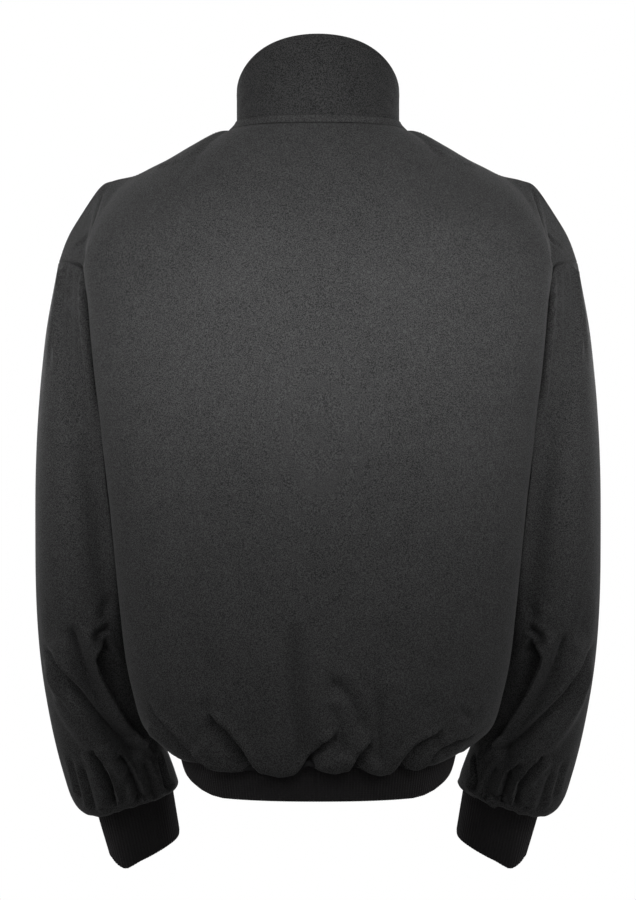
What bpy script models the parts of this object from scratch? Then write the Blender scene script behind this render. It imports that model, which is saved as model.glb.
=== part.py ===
"""Pilot jacket in its worn form, with every cut piece as its own thin-walled solid.

The origin is the middle of the neck opening, level with the neck seam at the back.
+X is the wearer's left, -Y the front and +Z up. Tables are in millimetres and the
functions turn them into metres. Each panel is a grid of points on the cloth's outer
face, read from the section tables below, and its wall is grown inwards from there.
"""
import math
from collections import namedtuple

import bmesh
import bpy
from mathutils import Matrix, Vector

MM = 0.001

# ---- driving sizes, in millimetres ------------------------------------------------
CLOTH_WALL = 1.6
RIB_WALL = 2.4
COLLAR_WALL = 3.0
SEAM_GAP = 0.4
GROOVE = 0.05               # a panel rising this steeply off its neighbour makes a groove
FRONT_EDGE = 5.0            # each front stops this far from the middle, at the zip

NECK_HALF_WIDTH = 85.0
NECK_BACK = 70.0            # neck seam, behind the origin at the middle of the back
NECK_FRONT = 78.0
NECK_LEVEL = -2.0
NECK_FRONT_DROP = 43.0      # how much lower the neck seam is at the middle front

BAND_HEIGHT = 8.0
COLLAR_HALF_WIDTH = 81.2
COLLAR_LEAN_FRONT = 7.0     # the leaf leans forward by this much at the throat
COLLAR_TOP = 40.75          # mean level of the leaf's top edge
COLLAR_TOP_TILT = 39.5      # higher at the back, lower at the throat
COLLAR_TOP_DOME = 3.75
COLLAR_SHOULDER = 2.0       # fills the dome out between the middle and the sides

RIB_HALF_WIDTH = 139.0
RIB_TAPER = 7.0             # the knit draws in by this much towards its lower edge
RIB_HALF_DEPTH = 118.0
RIB_TOP = -617.0
RIB_BOTTOM = -658.0
RIB_SQUARE = 0.84

CUFF_SQUARE = 0.88
CUFF_SEAM = 0.24            # where the sleeve ends, as a share of the cuff's length
CUFF_CLEARANCE = 0.9

TAPE_WIDTH = 13.0
TAPE_THICK = 0.8
TAPE_DEPTH = 2.1            # the tape's face lies this far behind the cloth's face
CHAIN_HALF_WIDTH = 3.2
CHAIN_PROUD = 1.9
TAPE_BEHIND_RIB = 1.2       # the rib's ends curve round in front of the tape

SLIDER_ROW = 0.75           # row of the front at which the slider sits
SLIDER_HALF_WIDTH = 4.4
SLIDER_HALF_LENGTH = 6.5
SLIDER_PLATE = 1.6
SLIDER_CLEARANCE = 0.35
LUG_INNER = 2.6
LUG_OUTER = 3.8
PIN_RADIUS = 0.7
PIN_OUT = 2.7               # the hinge pin's axis stands this far off the plate
PIN_UP = 3.6                # and this far above the slider's middle
PULL_HALF_WIDTH = 2.2
PULL_LENGTH = 24.0
PULL_THICK = 1.3
PULL_EYE = 1.05             # inner radius of the eye round the pin
PULL_EYE_OUTER = 2.0

# ---- grid sizes -------------------------------------------------------------------
NECK_COLUMNS = 5
SHOULDER_COLUMNS = 6
SIDE_COLUMNS = 3
ARMHOLE_ROWS = 9
BODY_ROWS = 11
SLEEVE_RINGS = 16
NECK_RING_COLUMNS = 28
RIB_COLUMNS = 36

# Shares of a body row, from the middle (0) to the seam (1).
NECK_SHARE = 0.36           # the neck seam ends and the shoulder seam starts
FOLD_SHARE = 0.84           # the row turns forward round the edge of the back

# ---- sections ---------------------------------------------------------------------
# A row runs from the middle of the panel, over its side fold, to its side edge.
Body = namedtuple("Body", "mid_z mid_y fold_x fold_y fold_z side_x side_y side_z")

UNDERARM_ROW = 8            # above this row the side edge is the armhole

BACK = (
    Body(-2, 70, 218.7, -3, -59.3, 0, 0, 0),
    Body(-32, 95, 222.5, 16, -81, 0, 0, 0),
    Body(-68, 113, 226.5, 38, -108, 0, 0, 0),
    Body(-110, 127, 229.5, 53, -142, 0, 0, 0),
    Body(-156, 137, 224.8, 58, -180, 0, 0, 0),
    Body(-203, 142, 221.5, 59, -218, 0, 0, 0),
    Body(-248, 144, 217.6, 58, -256, 0, 0, 0),
    Body(-288, 145, 213.2, 55, -292, 0, 0, 0),
    Body(-322, 145, 210.4, 52, -322, 195, -18, -300),
    Body(-374, 144, 204.6, 48, -374, 189, -16, -368),
    Body(-424, 142, 200.0, 43, -424, 186, -15, -424),
    Body(-476, 140, 195.0, 38, -477, 183, -15, -477),
    Body(-527, 137, 189.5, 34, -527, 179, -15, -527),
    Body(-562, 135, 182.2, 32, -562, 173, -15, -562),
    Body(-589, 132, 174.5, 30, -589, 166, -14, -589),
    Body(-608, 130, 163.5, 27, -607, 157, -14, -607),
    Body(-624, 127, 152.0, 24, -624, 149, -13, -624),
    Body(-631, 123.5, 145.5, 22, -631, 144.5, -12, -631),
    Body(-626, 119.4, 139.8, 18, -627, 140.4, -12, -627),
)

FRONT = (
    Body(-45, -78, 218.7, -3, -59.3, 0, 0, 0),
    Body(-66, -97, 221.5, -32, -80, 0, 0, 0),
    Body(-93, -112, 226, -58, -108, 0, 0, 0),
    Body(-128, -125, 228, -77, -142, 0, 0, 0),
    Body(-168, -136, 222, -88, -180, 0, 0, 0),
    Body(-208, -143, 216, -93, -218, 0, 0, 0),
    Body(-250, -147, 209, -94, -256, 0, 0, 0),
    Body(-289, -149, 203, -91, -292, 0, 0, 0),
    Body(-322, -149, 199, -86, -322, 195, -18, -300),
    Body(-374, -148, 194, -79, -374, 189, -16, -368),
    Body(-424, -147, 190, -72, -424, 186, -15, -424),
    Body(-476, -145, 186, -66, -477, 183, -15, -477),
    Body(-527, -142, 181, -61, -527, 179, -15, -527),
    Body(-562, -139, 175, -57, -562, 173, -15, -562),
    Body(-589, -136, 168, -53, -589, 166, -14, -589),
    Body(-608, -132, 158, -49, -607, 157, -14, -607),
    Body(-624, -128, 148, -45, -624, 149, -13, -624),
    Body(-631, -124, 142, -43, -631, 144.5, -12, -631),
    Body(-627, -120.4, 138, -42, -627, 140.4, -12, -627),
)

HEM_TURN_ROW = 15.2         # below this row the hem rolls under, over the rib
HEM_LIFT = 0.5              # share of a fold's depth by which it lifts the rolled edge
SIDE_FADE = 0.22            # folds fade out over this share of a row, at the side seam

# At the zip the fronts lie flat, with none of the fullness over the rib.
FLAT_FROM_ROW = 13
FLAT_HEM_Y = -121.6
FLAT_HEM_Z = -626.0
FLAT_REACH = 45.0           # the fullness is back this far from the zip

Ridge = namedtuple("Ridge", "share x y z")

# The shoulder line, from the side of the neck over the drop to the armhole.
SHOULDER = (
    Ridge(0.36, 85.0, 0, -2.3),
    Ridge(0.39, 98, 0, -3.4),
    Ridge(0.44, 113, 0, -12.0),
    Ridge(0.55, 134, -1, -26.0),
    Ridge(0.64, 153.5, -1, -35.5),
    Ridge(0.74, 179, -2, -46.6),
    Ridge(0.79, 203, -3, -51.8),
    Ridge(0.84, 218.7, -3, -59.3),
    Ridge(0.92, 242, -6, -93.0),
    Ridge(0.96, 252.5, -8, -112.0),
    Ridge(1.00, 260.5, -10, -134),
)

Point = namedtuple("Point", "x y z")

# The armhole seam, from its top round the back and under the arm to the front.
ARMHOLE = (
    Point(260.5, -10, -134),
    Point(238, 40, -139),
    Point(216, 44, -203),
    Point(203, 17, -268),
    Point(195, -18, -300),
    Point(199, -52, -266),
    Point(212, -70, -202),
    Point(238, -56, -141),
)

# A ring round an arm: its outer and inner ends, and half its depth front to back.
Ring = namedtuple("Ring", "out_x out_z in_x in_z mid_y half_depth back_drop")

SLEEVE = (
    Ring(270.0, -185, 206, -311, -16, 56, 0),
    Ring(276.6, -235, 208, -330, -18, 62, 0),
    Ring(281.5, -290, 206, -355, -22, 68, 0),
    Ring(284.2, -345, 202, -388, -26, 72, 0),
    Ring(285.3, -401, 198, -427, -33, 75, 0),
    Ring(285.7, -457, 193, -470, -41, 76, 0),
    Ring(284.5, -503, 188, -512, -49, 75, 0),
    Ring(281.5, -545, 180, -550, -58, 72, 0),
    Ring(276.0, -587, 170, -586, -68, 68, 1),
    Ring(269.5, -624, 161, -618, -78, 62, 3),
    Ring(262.0, -656, 152, -643, -86, 56, 4),
    Ring(254.5, -680, 147, -659, -91, 51, 6),
    Ring(244.0, -694, 145.5, -671, -94, 45, 8),
)

CUFF = (
    Ring(233.0, -680, 153.5, -655, -93, 34, 8),
    Ring(216.5, -742, 144.0, -720, -106, 34, 14),
)

# How far the cuff's lower edge hangs behind, by degrees round from its outer end.
Hang = namedtuple("Hang", "degrees drop")

CUFF_HANG = (
    Hang(0, 0),
    Hang(30, 0),
    Hang(62, 17.5),
    Hang(90, 13),
    Hang(135, 6.5),
    Hang(180, 1),
)

# The largest folds, as soft troughs between two points of a panel seen from behind.
Fold = namedtuple("Fold", "x1 z1 x2 z2 depth half_width")

BACK_FOLDS = (
    Fold(158, -586, 118, -632, 7, 12),
    Fold(104, -582, 62, -634, 9, 14),
    Fold(22, -520, 14, -634, 8, 15),
    Fold(-10, -556, -24, -630, 7, 12),
    Fold(-60, -560, -60, -632, 7, 13),
    Fold(-110, -600, -82, -634, 8, 13),
    Fold(-146, -600, -106, -632, 7, 12),
)

FRONT_FOLDS = (
    Fold(146, -590, 116, -632, 7, 12),
    Fold(92, -560, 78, -634, 9, 15),
    Fold(48, -590, 44, -634, 6, 12),
)

SLEEVE_FOLDS = (
    Fold(229, -531, 170, -652, 8, 14),
    Fold(276, -530, 186, -652, 7, 13),
    Fold(272, -556, 198, -660, 6, 12),
)

COLOURS = {
    "twill": ((0.045, 0.045, 0.048, 1.0), 0.72, 0.0),
    "rib_knit": ((0.010, 0.0095, 0.010, 1.0), 0.9, 0.0),
    "zip_tape": ((0.014, 0.014, 0.016, 1.0), 0.8, 0.0),
    "zip_metal": ((0.10, 0.10, 0.105, 1.0), 0.38, 1.0),
}


# ---- curves -----------------------------------------------------------------------
def spline(values, place, closed=False):
    """Catmull-Rom curve through values, read at a fractional index."""
    count = len(values)
    index = math.floor(place)
    if not closed:
        index = min(max(index, 0), count - 2)
    part = place - index

    def at(k):
        if closed:
            return values[k % count]
        if k < 0:
            return values[0] * 2 - values[1]
        if k >= count:
            return values[-1] * 2 - values[-2]
        return values[k]

    a, b, c, d = at(index - 1), at(index), at(index + 1), at(index + 2)
    bend = (a * 2 - b * 5 + c * 4 - d) * part ** 2 + (b * 3 - a - c * 3 + d) * part ** 3
    return (b * 2 + (c - a) * part + bend) * 0.5


def column(table, name, place):
    return spline([getattr(row, name) for row in table], place)


def ease(value):
    value = min(max(value, 0.0), 1.0)
    return value * value * (3 - 2 * value)


def power(value, exponent):
    return math.copysign(abs(value) ** exponent, value)


# ---- body panels ------------------------------------------------------------------
def neck_point(angle, half_width=NECK_HALF_WIDTH, back=NECK_BACK, front=NECK_FRONT):
    """Neck seam at an angle from the middle of the back, in radians."""
    reach = back if math.cos(angle) > 0 else front
    drop = NECK_FRONT_DROP * max(0.0, -math.cos(angle)) ** 1.6
    return Vector((half_width * math.sin(angle), reach * math.cos(angle), NECK_LEVEL - drop))


def shoulder_point(share):
    shares = [row.share for row in SHOULDER]
    span = max(k for k in range(len(shares) - 1) if share >= shares[k] - 1e-9)
    place = span + (share - shares[span]) / (shares[span + 1] - shares[span])
    return Vector([column(SHOULDER, name, place) for name in "xyz"])


def top_point(share, back):
    """Upper edge of a body panel: half the neck seam, then the shoulder seam."""
    if share >= NECK_SHARE:
        return shoulder_point(share)
    turn = share / NECK_SHARE * math.pi / 2
    point = neck_point(turn if back else math.pi - turn)
    if not back:
        point.x = max(point.x, FRONT_EDGE)
    return point


def armhole_point(place):
    """Armhole seam, 0 at the top, 2 behind, 4 under the arm, 6 in front."""
    return Vector([spline([getattr(p, name) for p in ARMHOLE], place, True) for name in "xyz"])


def section_point(table, row, share, back):
    """A body row below the neck: a flat oval to the fold, then a short turn."""
    mid = Vector((0.0, column(table, "mid_y", row), column(table, "mid_z", row)))
    fold = Vector([column(table, "fold_" + name, row) for name in "xyz"])
    if share <= FOLD_SHARE:
        turn = share / FOLD_SHARE * math.pi / 2
        across = math.sin(turn) ** 0.95
        along = math.cos(turn) ** 0.85
        level = mid.z + (fold.z - mid.z) * (share / FOLD_SHARE) ** 2
        return Vector((fold.x * across, fold.y + (mid.y - fold.y) * along, level))
    if row < UNDERARM_ROW:
        place = 4 * row / UNDERARM_ROW
        side = armhole_point(place if back else 8 - place)
    else:
        side = Vector([column(table, "side_" + name, row) for name in "xyz"])
    turn = (share - FOLD_SHARE) / (1 - FOLD_SHARE)
    forward = -1 if back else 1
    reach = (fold - side).length
    first = fold + Vector((0.03, 0.32 * forward, 0.0)) * reach
    last = side + Vector((0.02, -0.26 * forward, 0.10)) * reach
    rest = 1 - turn
    return (fold * rest ** 3 + first * 3 * rest ** 2 * turn
            + last * 3 * rest * turn ** 2 + side * turn ** 3)


def fold_depth(folds, x, z):
    """Depth of the soft troughs at a point, in millimetres."""
    depth = 0.0
    for fold in folds:
        start = Vector((fold.x1, fold.z1))
        run = Vector((fold.x2, fold.z2)) - start
        place = (Vector((x, z)) - start).dot(run) / run.length_squared
        near = start + run * min(max(place, 0.0), 1.0)
        away = (Vector((x, z)) - near).length / fold.half_width
        depth += fold.depth * math.exp(-away * away)
    return depth


def body_point(table, row, share, back):
    section = section_point(table, row, share, back)
    settle = ease(row / 3.0)
    if row < UNDERARM_ROW and share >= 1.0:
        settle = 1.0
    point = top_point(share, back).lerp(section, settle)
    if not back:
        point.x = max(point.x, FRONT_EDGE)
        flat = ease((row - FLAT_FROM_ROW) / (len(FRONT) - 1 - FLAT_FROM_ROW))
        hold = 1 - ease((point.x - FRONT_EDGE) / FLAT_REACH)
        start = Vector((0, column(FRONT, "mid_y", FLAT_FROM_ROW), column(FRONT, "mid_z", FLAT_FROM_ROW)))
        if row > FLAT_FROM_ROW:
            step = (row - FLAT_FROM_ROW) / (len(FRONT) - 1 - FLAT_FROM_ROW)
            flat_y = start.y + (FLAT_HEM_Y - start.y) * (0.4 * step + 0.6 * flat)
            flat_z = start.z + (FLAT_HEM_Z - start.z) * step
            point.y += (flat_y - point.y) * hold
            point.z += (flat_z - point.z) * hold
    return point


def shares():
    """Places of a half panel's columns, from the middle to the side edge."""
    places = [NECK_SHARE * k / NECK_COLUMNS for k in range(NECK_COLUMNS)]
    span = FOLD_SHARE - NECK_SHARE
    places += [NECK_SHARE + span * k / SHOULDER_COLUMNS for k in range(SHOULDER_COLUMNS)]
    places += [FOLD_SHARE + (1 - FOLD_SHARE) * k / SIDE_COLUMNS for k in range(SIDE_COLUMNS + 1)]
    return places


def body_rows():
    """Places of the rows, close together where the hem turns under."""
    rows = [UNDERARM_ROW * k / ARMHOLE_ROWS for k in range(ARMHOLE_ROWS + 1)]
    last = len(BACK) - 1
    return rows + [UNDERARM_ROW + (last - UNDERARM_ROW) * k / BODY_ROWS for k in range(1, BODY_ROWS + 1)]


def push_in(grid, folds, facing, places):
    """Presses the large folds in; at the hem's turn they lift its edge instead."""
    for row, line in zip(body_rows(), grid):
        if row <= UNDERARM_ROW:
            continue
        turned = ease((row - HEM_TURN_ROW) / 1.5)
        for share, point in zip(places, line):
            depth = fold_depth(folds, point.x, point.z) * ease((1 - abs(share)) / SIDE_FADE)
            point.y -= facing * depth * (1 - turned)
            if row < len(BACK) - 1:
                point.z += HEM_LIFT * depth * turned


def back_grid():
    half = shares()
    spread = [-share for share in reversed(half[1:])] + half
    grid = []
    for row in body_rows():
        line = []
        for share in spread:
            point = body_point(BACK, row, abs(share), True)
            line.append(Vector((math.copysign(point.x, share), point.y, point.z)))
        grid.append(line)
    push_in(grid, BACK_FOLDS, 1, spread)
    return grid


def front_grid():
    grid = [[body_point(FRONT, row, share, False) for share in shares()] for row in body_rows()]
    push_in(grid, FRONT_FOLDS, -1, shares())
    return grid


# ---- sleeves and cuffs ------------------------------------------------------------
def ring_point(ring, place, square=0.92, grow=0.0):
    """A ring's point; place is 0 at its outer end, 2 behind, 4 inside, 6 in front."""
    angle = place * math.pi / 4
    out = Vector((ring.out_x, ring.mid_y, ring.out_z))
    inner = Vector((ring.in_x, ring.mid_y, ring.in_z))
    half = (out - inner) / 2
    half *= 1 + grow / half.length
    across = power(math.cos(angle), square)
    along = power(math.sin(angle), square)
    point = (out + inner) / 2 + half * across
    point.y += (ring.half_depth + grow) * along
    point.z -= ring.back_drop * along
    return point


def mix_rings(first, second, part):
    return Ring(*[a + (b - a) * part for a, b in zip(first, second)])


def sleeve_grid():
    count = 2 * ARMHOLE_ROWS
    places = [8 * k / count for k in range(count)]
    end_ring = mix_rings(CUFF[0], CUFF[1], CUFF_SEAM)
    grid = []
    lines = []
    for place in places:
        line = [armhole_point(place)]
        line += [ring_point(ring, place) for ring in SLEEVE]
        line.append(ring_point(end_ring, place, CUFF_SQUARE, CUFF_CLEARANCE))
        lines.append(line)
    last = len(lines[0]) - 1
    for k in range(SLEEVE_RINGS + 1):
        along = last * k / SLEEVE_RINGS
        grid.append([spline(line, along) for line in lines])
    for ring_number, ring in enumerate(grid[1:], 1):
        middle = sum(point.y for point in ring) / len(ring)
        fade = ease((SLEEVE_RINGS - 1 - ring_number) / 2.5)
        for point in ring:
            side = 1 if point.y > middle else -1
            weight = fade * ease(abs(point.y - middle) / 30.0)
            point.y -= side * weight * fold_depth(SLEEVE_FOLDS, point.x, point.z)
    return grid


def cuff_hang(place):
    """Extra drop of the cuff's lower edge behind, over its even slant."""
    degrees = place * 45
    if degrees >= 180:
        return 0.0
    for first, second in zip(CUFF_HANG, CUFF_HANG[1:]):
        if degrees <= second.degrees:
            part = (degrees - first.degrees) / (second.degrees - first.degrees)
            drop = first.drop + (second.drop - first.drop) * part
            return drop - CUFF[1].back_drop * math.sin(math.radians(degrees))


def cuff_grid():
    count = 2 * ARMHOLE_ROWS
    places = [8 * k / count for k in range(count)]
    grid = []
    for k in range(4):
        ring = mix_rings(CUFF[0], CUFF[1], k / 3)
        line = [ring_point(ring, place, CUFF_SQUARE) for place in places]
        for place, point in zip(places, line):
            point.z -= cuff_hang(place) * (k / 3) ** 2
        grid.append(line)
    return grid


# ---- collar, band and waist rib ---------------------------------------------------
def throat_angle(half_width):
    """Angle at which a neck ring reaches the zip, from the middle of the back."""
    return math.pi - math.asin(FRONT_EDGE / half_width)


def collar_top(angle):
    """Level of the leaf's top edge, a tilted ring with a domed back."""
    swell = COLLAR_SHOULDER * math.sin(2 * angle) ** 2 if math.cos(angle) > 0 else 0.0
    tilt = COLLAR_TOP_TILT * math.cos(angle) + COLLAR_TOP_DOME * math.cos(2 * angle)
    return COLLAR_TOP + tilt + swell


def neck_angles(half_width, count):
    end = throat_angle(half_width)
    return [end * (2 * k / count - 1) for k in range(count + 1)]


def around(angle, half_width, back, front):
    point = neck_point(abs(angle), half_width, back, front)
    point.x = math.copysign(point.x, angle)
    return point


def band_grid():
    grid = []
    for level in (BAND_HEIGHT, SEAM_GAP):
        inset = 0.8 + 1.6 * level / BAND_HEIGHT
        size = NECK_HALF_WIDTH - inset
        back = NECK_BACK - inset
        front = NECK_FRONT - inset
        line = [around(angle, size, back, front) for angle in neck_angles(size, NECK_RING_COLUMNS)]
        for point in line:
            point.z += level
        grid.append(line)
    return grid


def collar_grid():
    rows = 5
    size = COLLAR_HALF_WIDTH
    grid = []
    for k in range(rows + 1):
        up = 1 - k / rows
        line = []
        for angle in neck_angles(size, NECK_RING_COLUMNS):
            lean = COLLAR_LEAN_FRONT * up
            point = around(angle, size, NECK_BACK - 3.4, NECK_FRONT - 3.4 + lean)
            base = point.z + BAND_HEIGHT + SEAM_GAP
            point.z = base + (collar_top(angle) - base) * up
            line.append(point)
        grid.append(line)
    return grid


def rib_grid():
    count = RIB_COLUMNS
    end = throat_angle(RIB_HALF_WIDTH)
    grid = []
    for k in range(4):
        level = RIB_TOP + (RIB_BOTTOM - RIB_TOP) * k / 3
        line = []
        for step in range(count + 1):
            angle = end * (2 * step / count - 1)
            across = power(math.sin(angle), RIB_SQUARE)
            along = power(math.cos(angle), RIB_SQUARE)
            half_width = RIB_HALF_WIDTH - RIB_TAPER * k / 3
            line.append(Vector((half_width * across, RIB_HALF_DEPTH * along, level)))
        line[0].x = -FRONT_EDGE
        line[-1].x = FRONT_EDGE
        grid.append(line)
    return grid


# ---- zip --------------------------------------------------------------------------
def zip_line():
    """Middle line of the tape's face, as (y, z) pairs from the throat to the hem."""
    rows = [row for row in body_rows() if 0 < row <= FLAT_FROM_ROW + 1]
    rows = [0.12] + rows
    places = [body_point(FRONT, row, 0.0, False) for row in rows]
    line = []
    for k, place in enumerate(places):
        ahead = places[min(k + 1, len(places) - 1)]
        behind = places[max(k - 1, 0)]
        along = (ahead - behind).normalized()
        inward = Vector((0, -along.z, along.y))
        line.append(place + inward * TAPE_DEPTH)
    rib_face = -RIB_HALF_DEPTH + RIB_WALL + TAPE_BEHIND_RIB
    line.append(Vector((0, rib_face, RIB_TOP - 1)))
    line.append(Vector((0, rib_face, RIB_BOTTOM + 1)))
    return line


def tape_sections(side):
    """L-shaped sections of half a zip: the flat tape and the raised row of teeth."""
    line = zip_line()
    inner = SEAM_GAP / 2
    profile = (
        (inner, -CHAIN_PROUD),
        (CHAIN_HALF_WIDTH, -CHAIN_PROUD),
        (CHAIN_HALF_WIDTH, 0.0),
        (TAPE_WIDTH, 0.0),
        (TAPE_WIDTH, TAPE_THICK),
        (inner, TAPE_THICK),
    )
    sections = []
    for k, place in enumerate(line):
        ahead = line[min(k + 1, len(line) - 1)]
        behind = line[max(k - 1, 0)]
        along = (ahead - behind).normalized()
        inward = Vector((0, -along.z, along.y))
        section = []
        for across, depth in profile:
            section.append(Vector((side * across, place.y, place.z)) + inward * depth)
        sections.append(section)
    return sections


# ---- solids -----------------------------------------------------------------------
def material(name):
    found = bpy.data.materials.get(name)
    if found:
        return found
    colour, roughness, metallic = COLOURS[name]
    made = bpy.data.materials.new(name)
    made.use_nodes = True
    shader = made.node_tree.nodes["Principled BSDF"]
    shader.inputs["Base Color"].default_value = colour
    shader.inputs["Roughness"].default_value = roughness
    shader.inputs["Metallic"].default_value = metallic
    made.diffuse_color = colour
    return made


def add_object(name, mesh_data, slot, home):
    bmesh.ops.recalc_face_normals(mesh_data, faces=mesh_data.faces)
    mesh = bpy.data.meshes.new(name)
    mesh_data.to_mesh(mesh)
    mesh_data.free()
    mesh.materials.append(material(slot))
    mesh.shade_smooth()
    mesh.set_sharp_from_angle(angle=math.radians(40))
    made = bpy.data.objects.new(name, mesh)
    home.objects.link(made)
    return made


def key(point):
    return (round(point.x, 2), round(point.y, 2), round(point.z, 2))


def add_normals(totals, grid, facing, wraps):
    """Sums face normals at each point, so that panels share them along a seam."""
    columns = len(grid[0])
    spans = columns if wraps else columns - 1
    for i in range(len(grid) - 1):
        for j in range(spans):
            n = (j + 1) % columns
            corners = (grid[i][j], grid[i][n], grid[i + 1][n], grid[i + 1][j])
            normal = (corners[2] - corners[0]).cross(corners[3] - corners[1]) * facing
            for corner in corners:
                totals[key(corner)] = totals.get(key(corner), Vector()) + normal


def seam_inset(grid, wraps):
    """Draws the open edges back by half a seam gap."""
    for edge, inside in ((0, 1), (-1, -2)):
        moved = []
        for point, near in zip(grid[edge], grid[inside]):
            moved.append(point + (near - point).normalized() * SEAM_GAP / 2)
        grid[edge] = moved
    if wraps:
        return
    for row in grid:
        first = row[0] + (row[1] - row[0]).normalized() * SEAM_GAP / 2
        last = row[-1] + (row[-2] - row[-1]).normalized() * SEAM_GAP / 2
        row[0] = first
        row[-1] = last


def inward_steps(grid, totals, facing, thickness, wraps):
    """Wall steps: shared across a seam that stands out, the panel's own in a groove."""
    own = {}
    add_normals(own, grid, facing, wraps)
    last = len(grid) - 1
    side = len(grid[0]) - 1
    steps = []
    for i, row in enumerate(grid):
        line = []
        for j, point in enumerate(row):
            shared = totals[key(point)]
            near = None
            if i in (0, last):
                near = grid[1 if i == 0 else last - 1][j]
            elif j in (0, side) and not wraps:
                near = row[1 if j == 0 else side - 1]
            across = (shared - own[key(point)]).normalized()
            doubled_back = across.dot(own[key(point)]) < 0
            if near and (doubled_back or (near - point).normalized().dot(across) > GROOVE):
                shared = own[key(point)]
            line.append(-shared.normalized() * thickness)
        steps.append(line)
    return steps


def wall(name, grid, totals, facing, thickness, slot, wraps, home):
    """A closed wall: the grid as its outer face, and the same grid moved inwards."""
    inward = inward_steps(grid, totals, facing, thickness, wraps)
    grid = [[point.copy() for point in row] for row in grid]
    seam_inset(grid, wraps)
    made = bmesh.new()
    outer = [[made.verts.new(point * MM) for point in row] for row in grid]
    inner = []
    for row, steps in zip(grid, inward):
        inner.append([made.verts.new((point + step) * MM) for point, step in zip(row, steps)])
    rows = len(grid)
    columns = len(grid[0])
    spans = columns if wraps else columns - 1
    for i in range(rows - 1):
        for j in range(spans):
            n = (j + 1) % columns
            made.faces.new((outer[i][j], outer[i][n], outer[i + 1][n], outer[i + 1][j]))
            made.faces.new((inner[i][j], inner[i + 1][j], inner[i + 1][n], inner[i][n]))
    for j in range(spans):
        n = (j + 1) % columns
        for i in (0, rows - 1):
            made.faces.new((outer[i][j], inner[i][j], inner[i][n], outer[i][n]))
    if not wraps:
        for i in range(rows - 1):
            for j in (0, columns - 1):
                made.faces.new((outer[i][j], outer[i + 1][j], inner[i + 1][j], inner[i][j]))
    return add_object(name, made, slot, home)


def mirrored(grid):
    return [[Vector((-point.x, point.y, point.z)) for point in row] for row in grid]


def lofted(name, sections, slot, home):
    made = bmesh.new()
    rings = [[made.verts.new(point * MM) for point in section] for section in sections]
    count = len(rings[0])
    for first, second in zip(rings, rings[1:]):
        for j in range(count):
            n = (j + 1) % count
            made.faces.new((first[j], first[n], second[n], second[j]))
    made.faces.new(rings[0])
    made.faces.new(rings[-1])
    return add_object(name, made, slot, home)


def box(made, low, high):
    """Adds a box between two corners, in millimetres."""
    middle = (Vector(low) + Vector(high)) / 2
    size = Vector(high) - Vector(low)
    place = Matrix.Translation(middle * MM) @ Matrix.Diagonal((*(size * MM), 1.0))
    bmesh.ops.create_cube(made, size=1.0, matrix=place)


# ---- slider and pull tab, in the slider's own frame: +Z up the zip, -Y outwards ----
def slider_frame():
    """Where the slider's middle sits on the face of the teeth, and how it leans."""
    here = body_point(FRONT, SLIDER_ROW, 0.0, False)
    below = body_point(FRONT, SLIDER_ROW + 0.2, 0.0, False)
    down = (below - here)
    down.x = 0
    down.normalize()
    inward = Vector((0, -down.z, down.y))
    out = -inward
    start = Vector((0, here.y, here.z)) + inward * (TAPE_DEPTH - CHAIN_PROUD)
    start += out * (SLIDER_CLEARANCE + SLIDER_PLATE)
    turn = Matrix((Vector((1, 0, 0)), -out, -down)).transposed().to_4x4()
    return Matrix.Translation(start * MM) @ turn


def slider_mesh():
    plate = bpy.data.meshes.new("plate")
    made = bmesh.new()
    low = (-SLIDER_HALF_WIDTH, 0, -SLIDER_HALF_LENGTH)
    high = (SLIDER_HALF_WIDTH, SLIDER_PLATE, SLIDER_HALF_LENGTH)
    box(made, low, high)
    bmesh.ops.bevel(made, geom=made.edges[:], offset=0.5 * MM, segments=1, affect="EDGES")
    made.to_mesh(plate)
    made.free()
    return plate


def add_slider(home):
    """Face plate with two lugs and a pin, joined into one body."""
    body = bpy.data.objects.new("zip_slider", slider_mesh())
    body.data.name = "zip_slider"
    home.objects.link(body)
    body.data.materials.append(material("zip_metal"))
    body.matrix_world = slider_frame()
    for name, low, high in (
        ("lug_a", LUG_INNER, LUG_OUTER),
        ("lug_b", -LUG_OUTER, -LUG_INNER),
    ):
        made = bmesh.new()
        box(made, (low, -PIN_OUT - 1.2, PIN_UP - 1.6), (high, 0.8, PIN_UP + 1.6))
        join(body, name, made)
    made = bmesh.new()
    turn = Matrix.Rotation(math.pi / 2, 4, "Y")
    place = Matrix.Translation(Vector((0, -PIN_OUT, PIN_UP)) * MM) @ turn
    bmesh.ops.create_cone(made, cap_ends=True, segments=12, radius1=PIN_RADIUS * MM,
                          radius2=PIN_RADIUS * MM, depth=2 * (LUG_OUTER - 0.4) * MM, matrix=place)
    join(body, "pin", made)
    return body


def tools_collection():
    found = bpy.data.collections.get("cutters")
    if not found:
        found = bpy.data.collections.new("cutters")
        bpy.context.scene.collection.children.link(found)
    return found


def join(body, name, made, operation="UNION"):
    mesh = bpy.data.meshes.new(name)
    made.to_mesh(mesh)
    made.free()
    tool = bpy.data.objects.new(name, mesh)
    tools_collection().objects.link(tool)
    tool.matrix_world = body.matrix_world
    tool.hide_render = True
    tool.display_type = "WIRE"
    step = body.modifiers.new(name, "BOOLEAN")
    step.operation = operation
    step.object = tool


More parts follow.
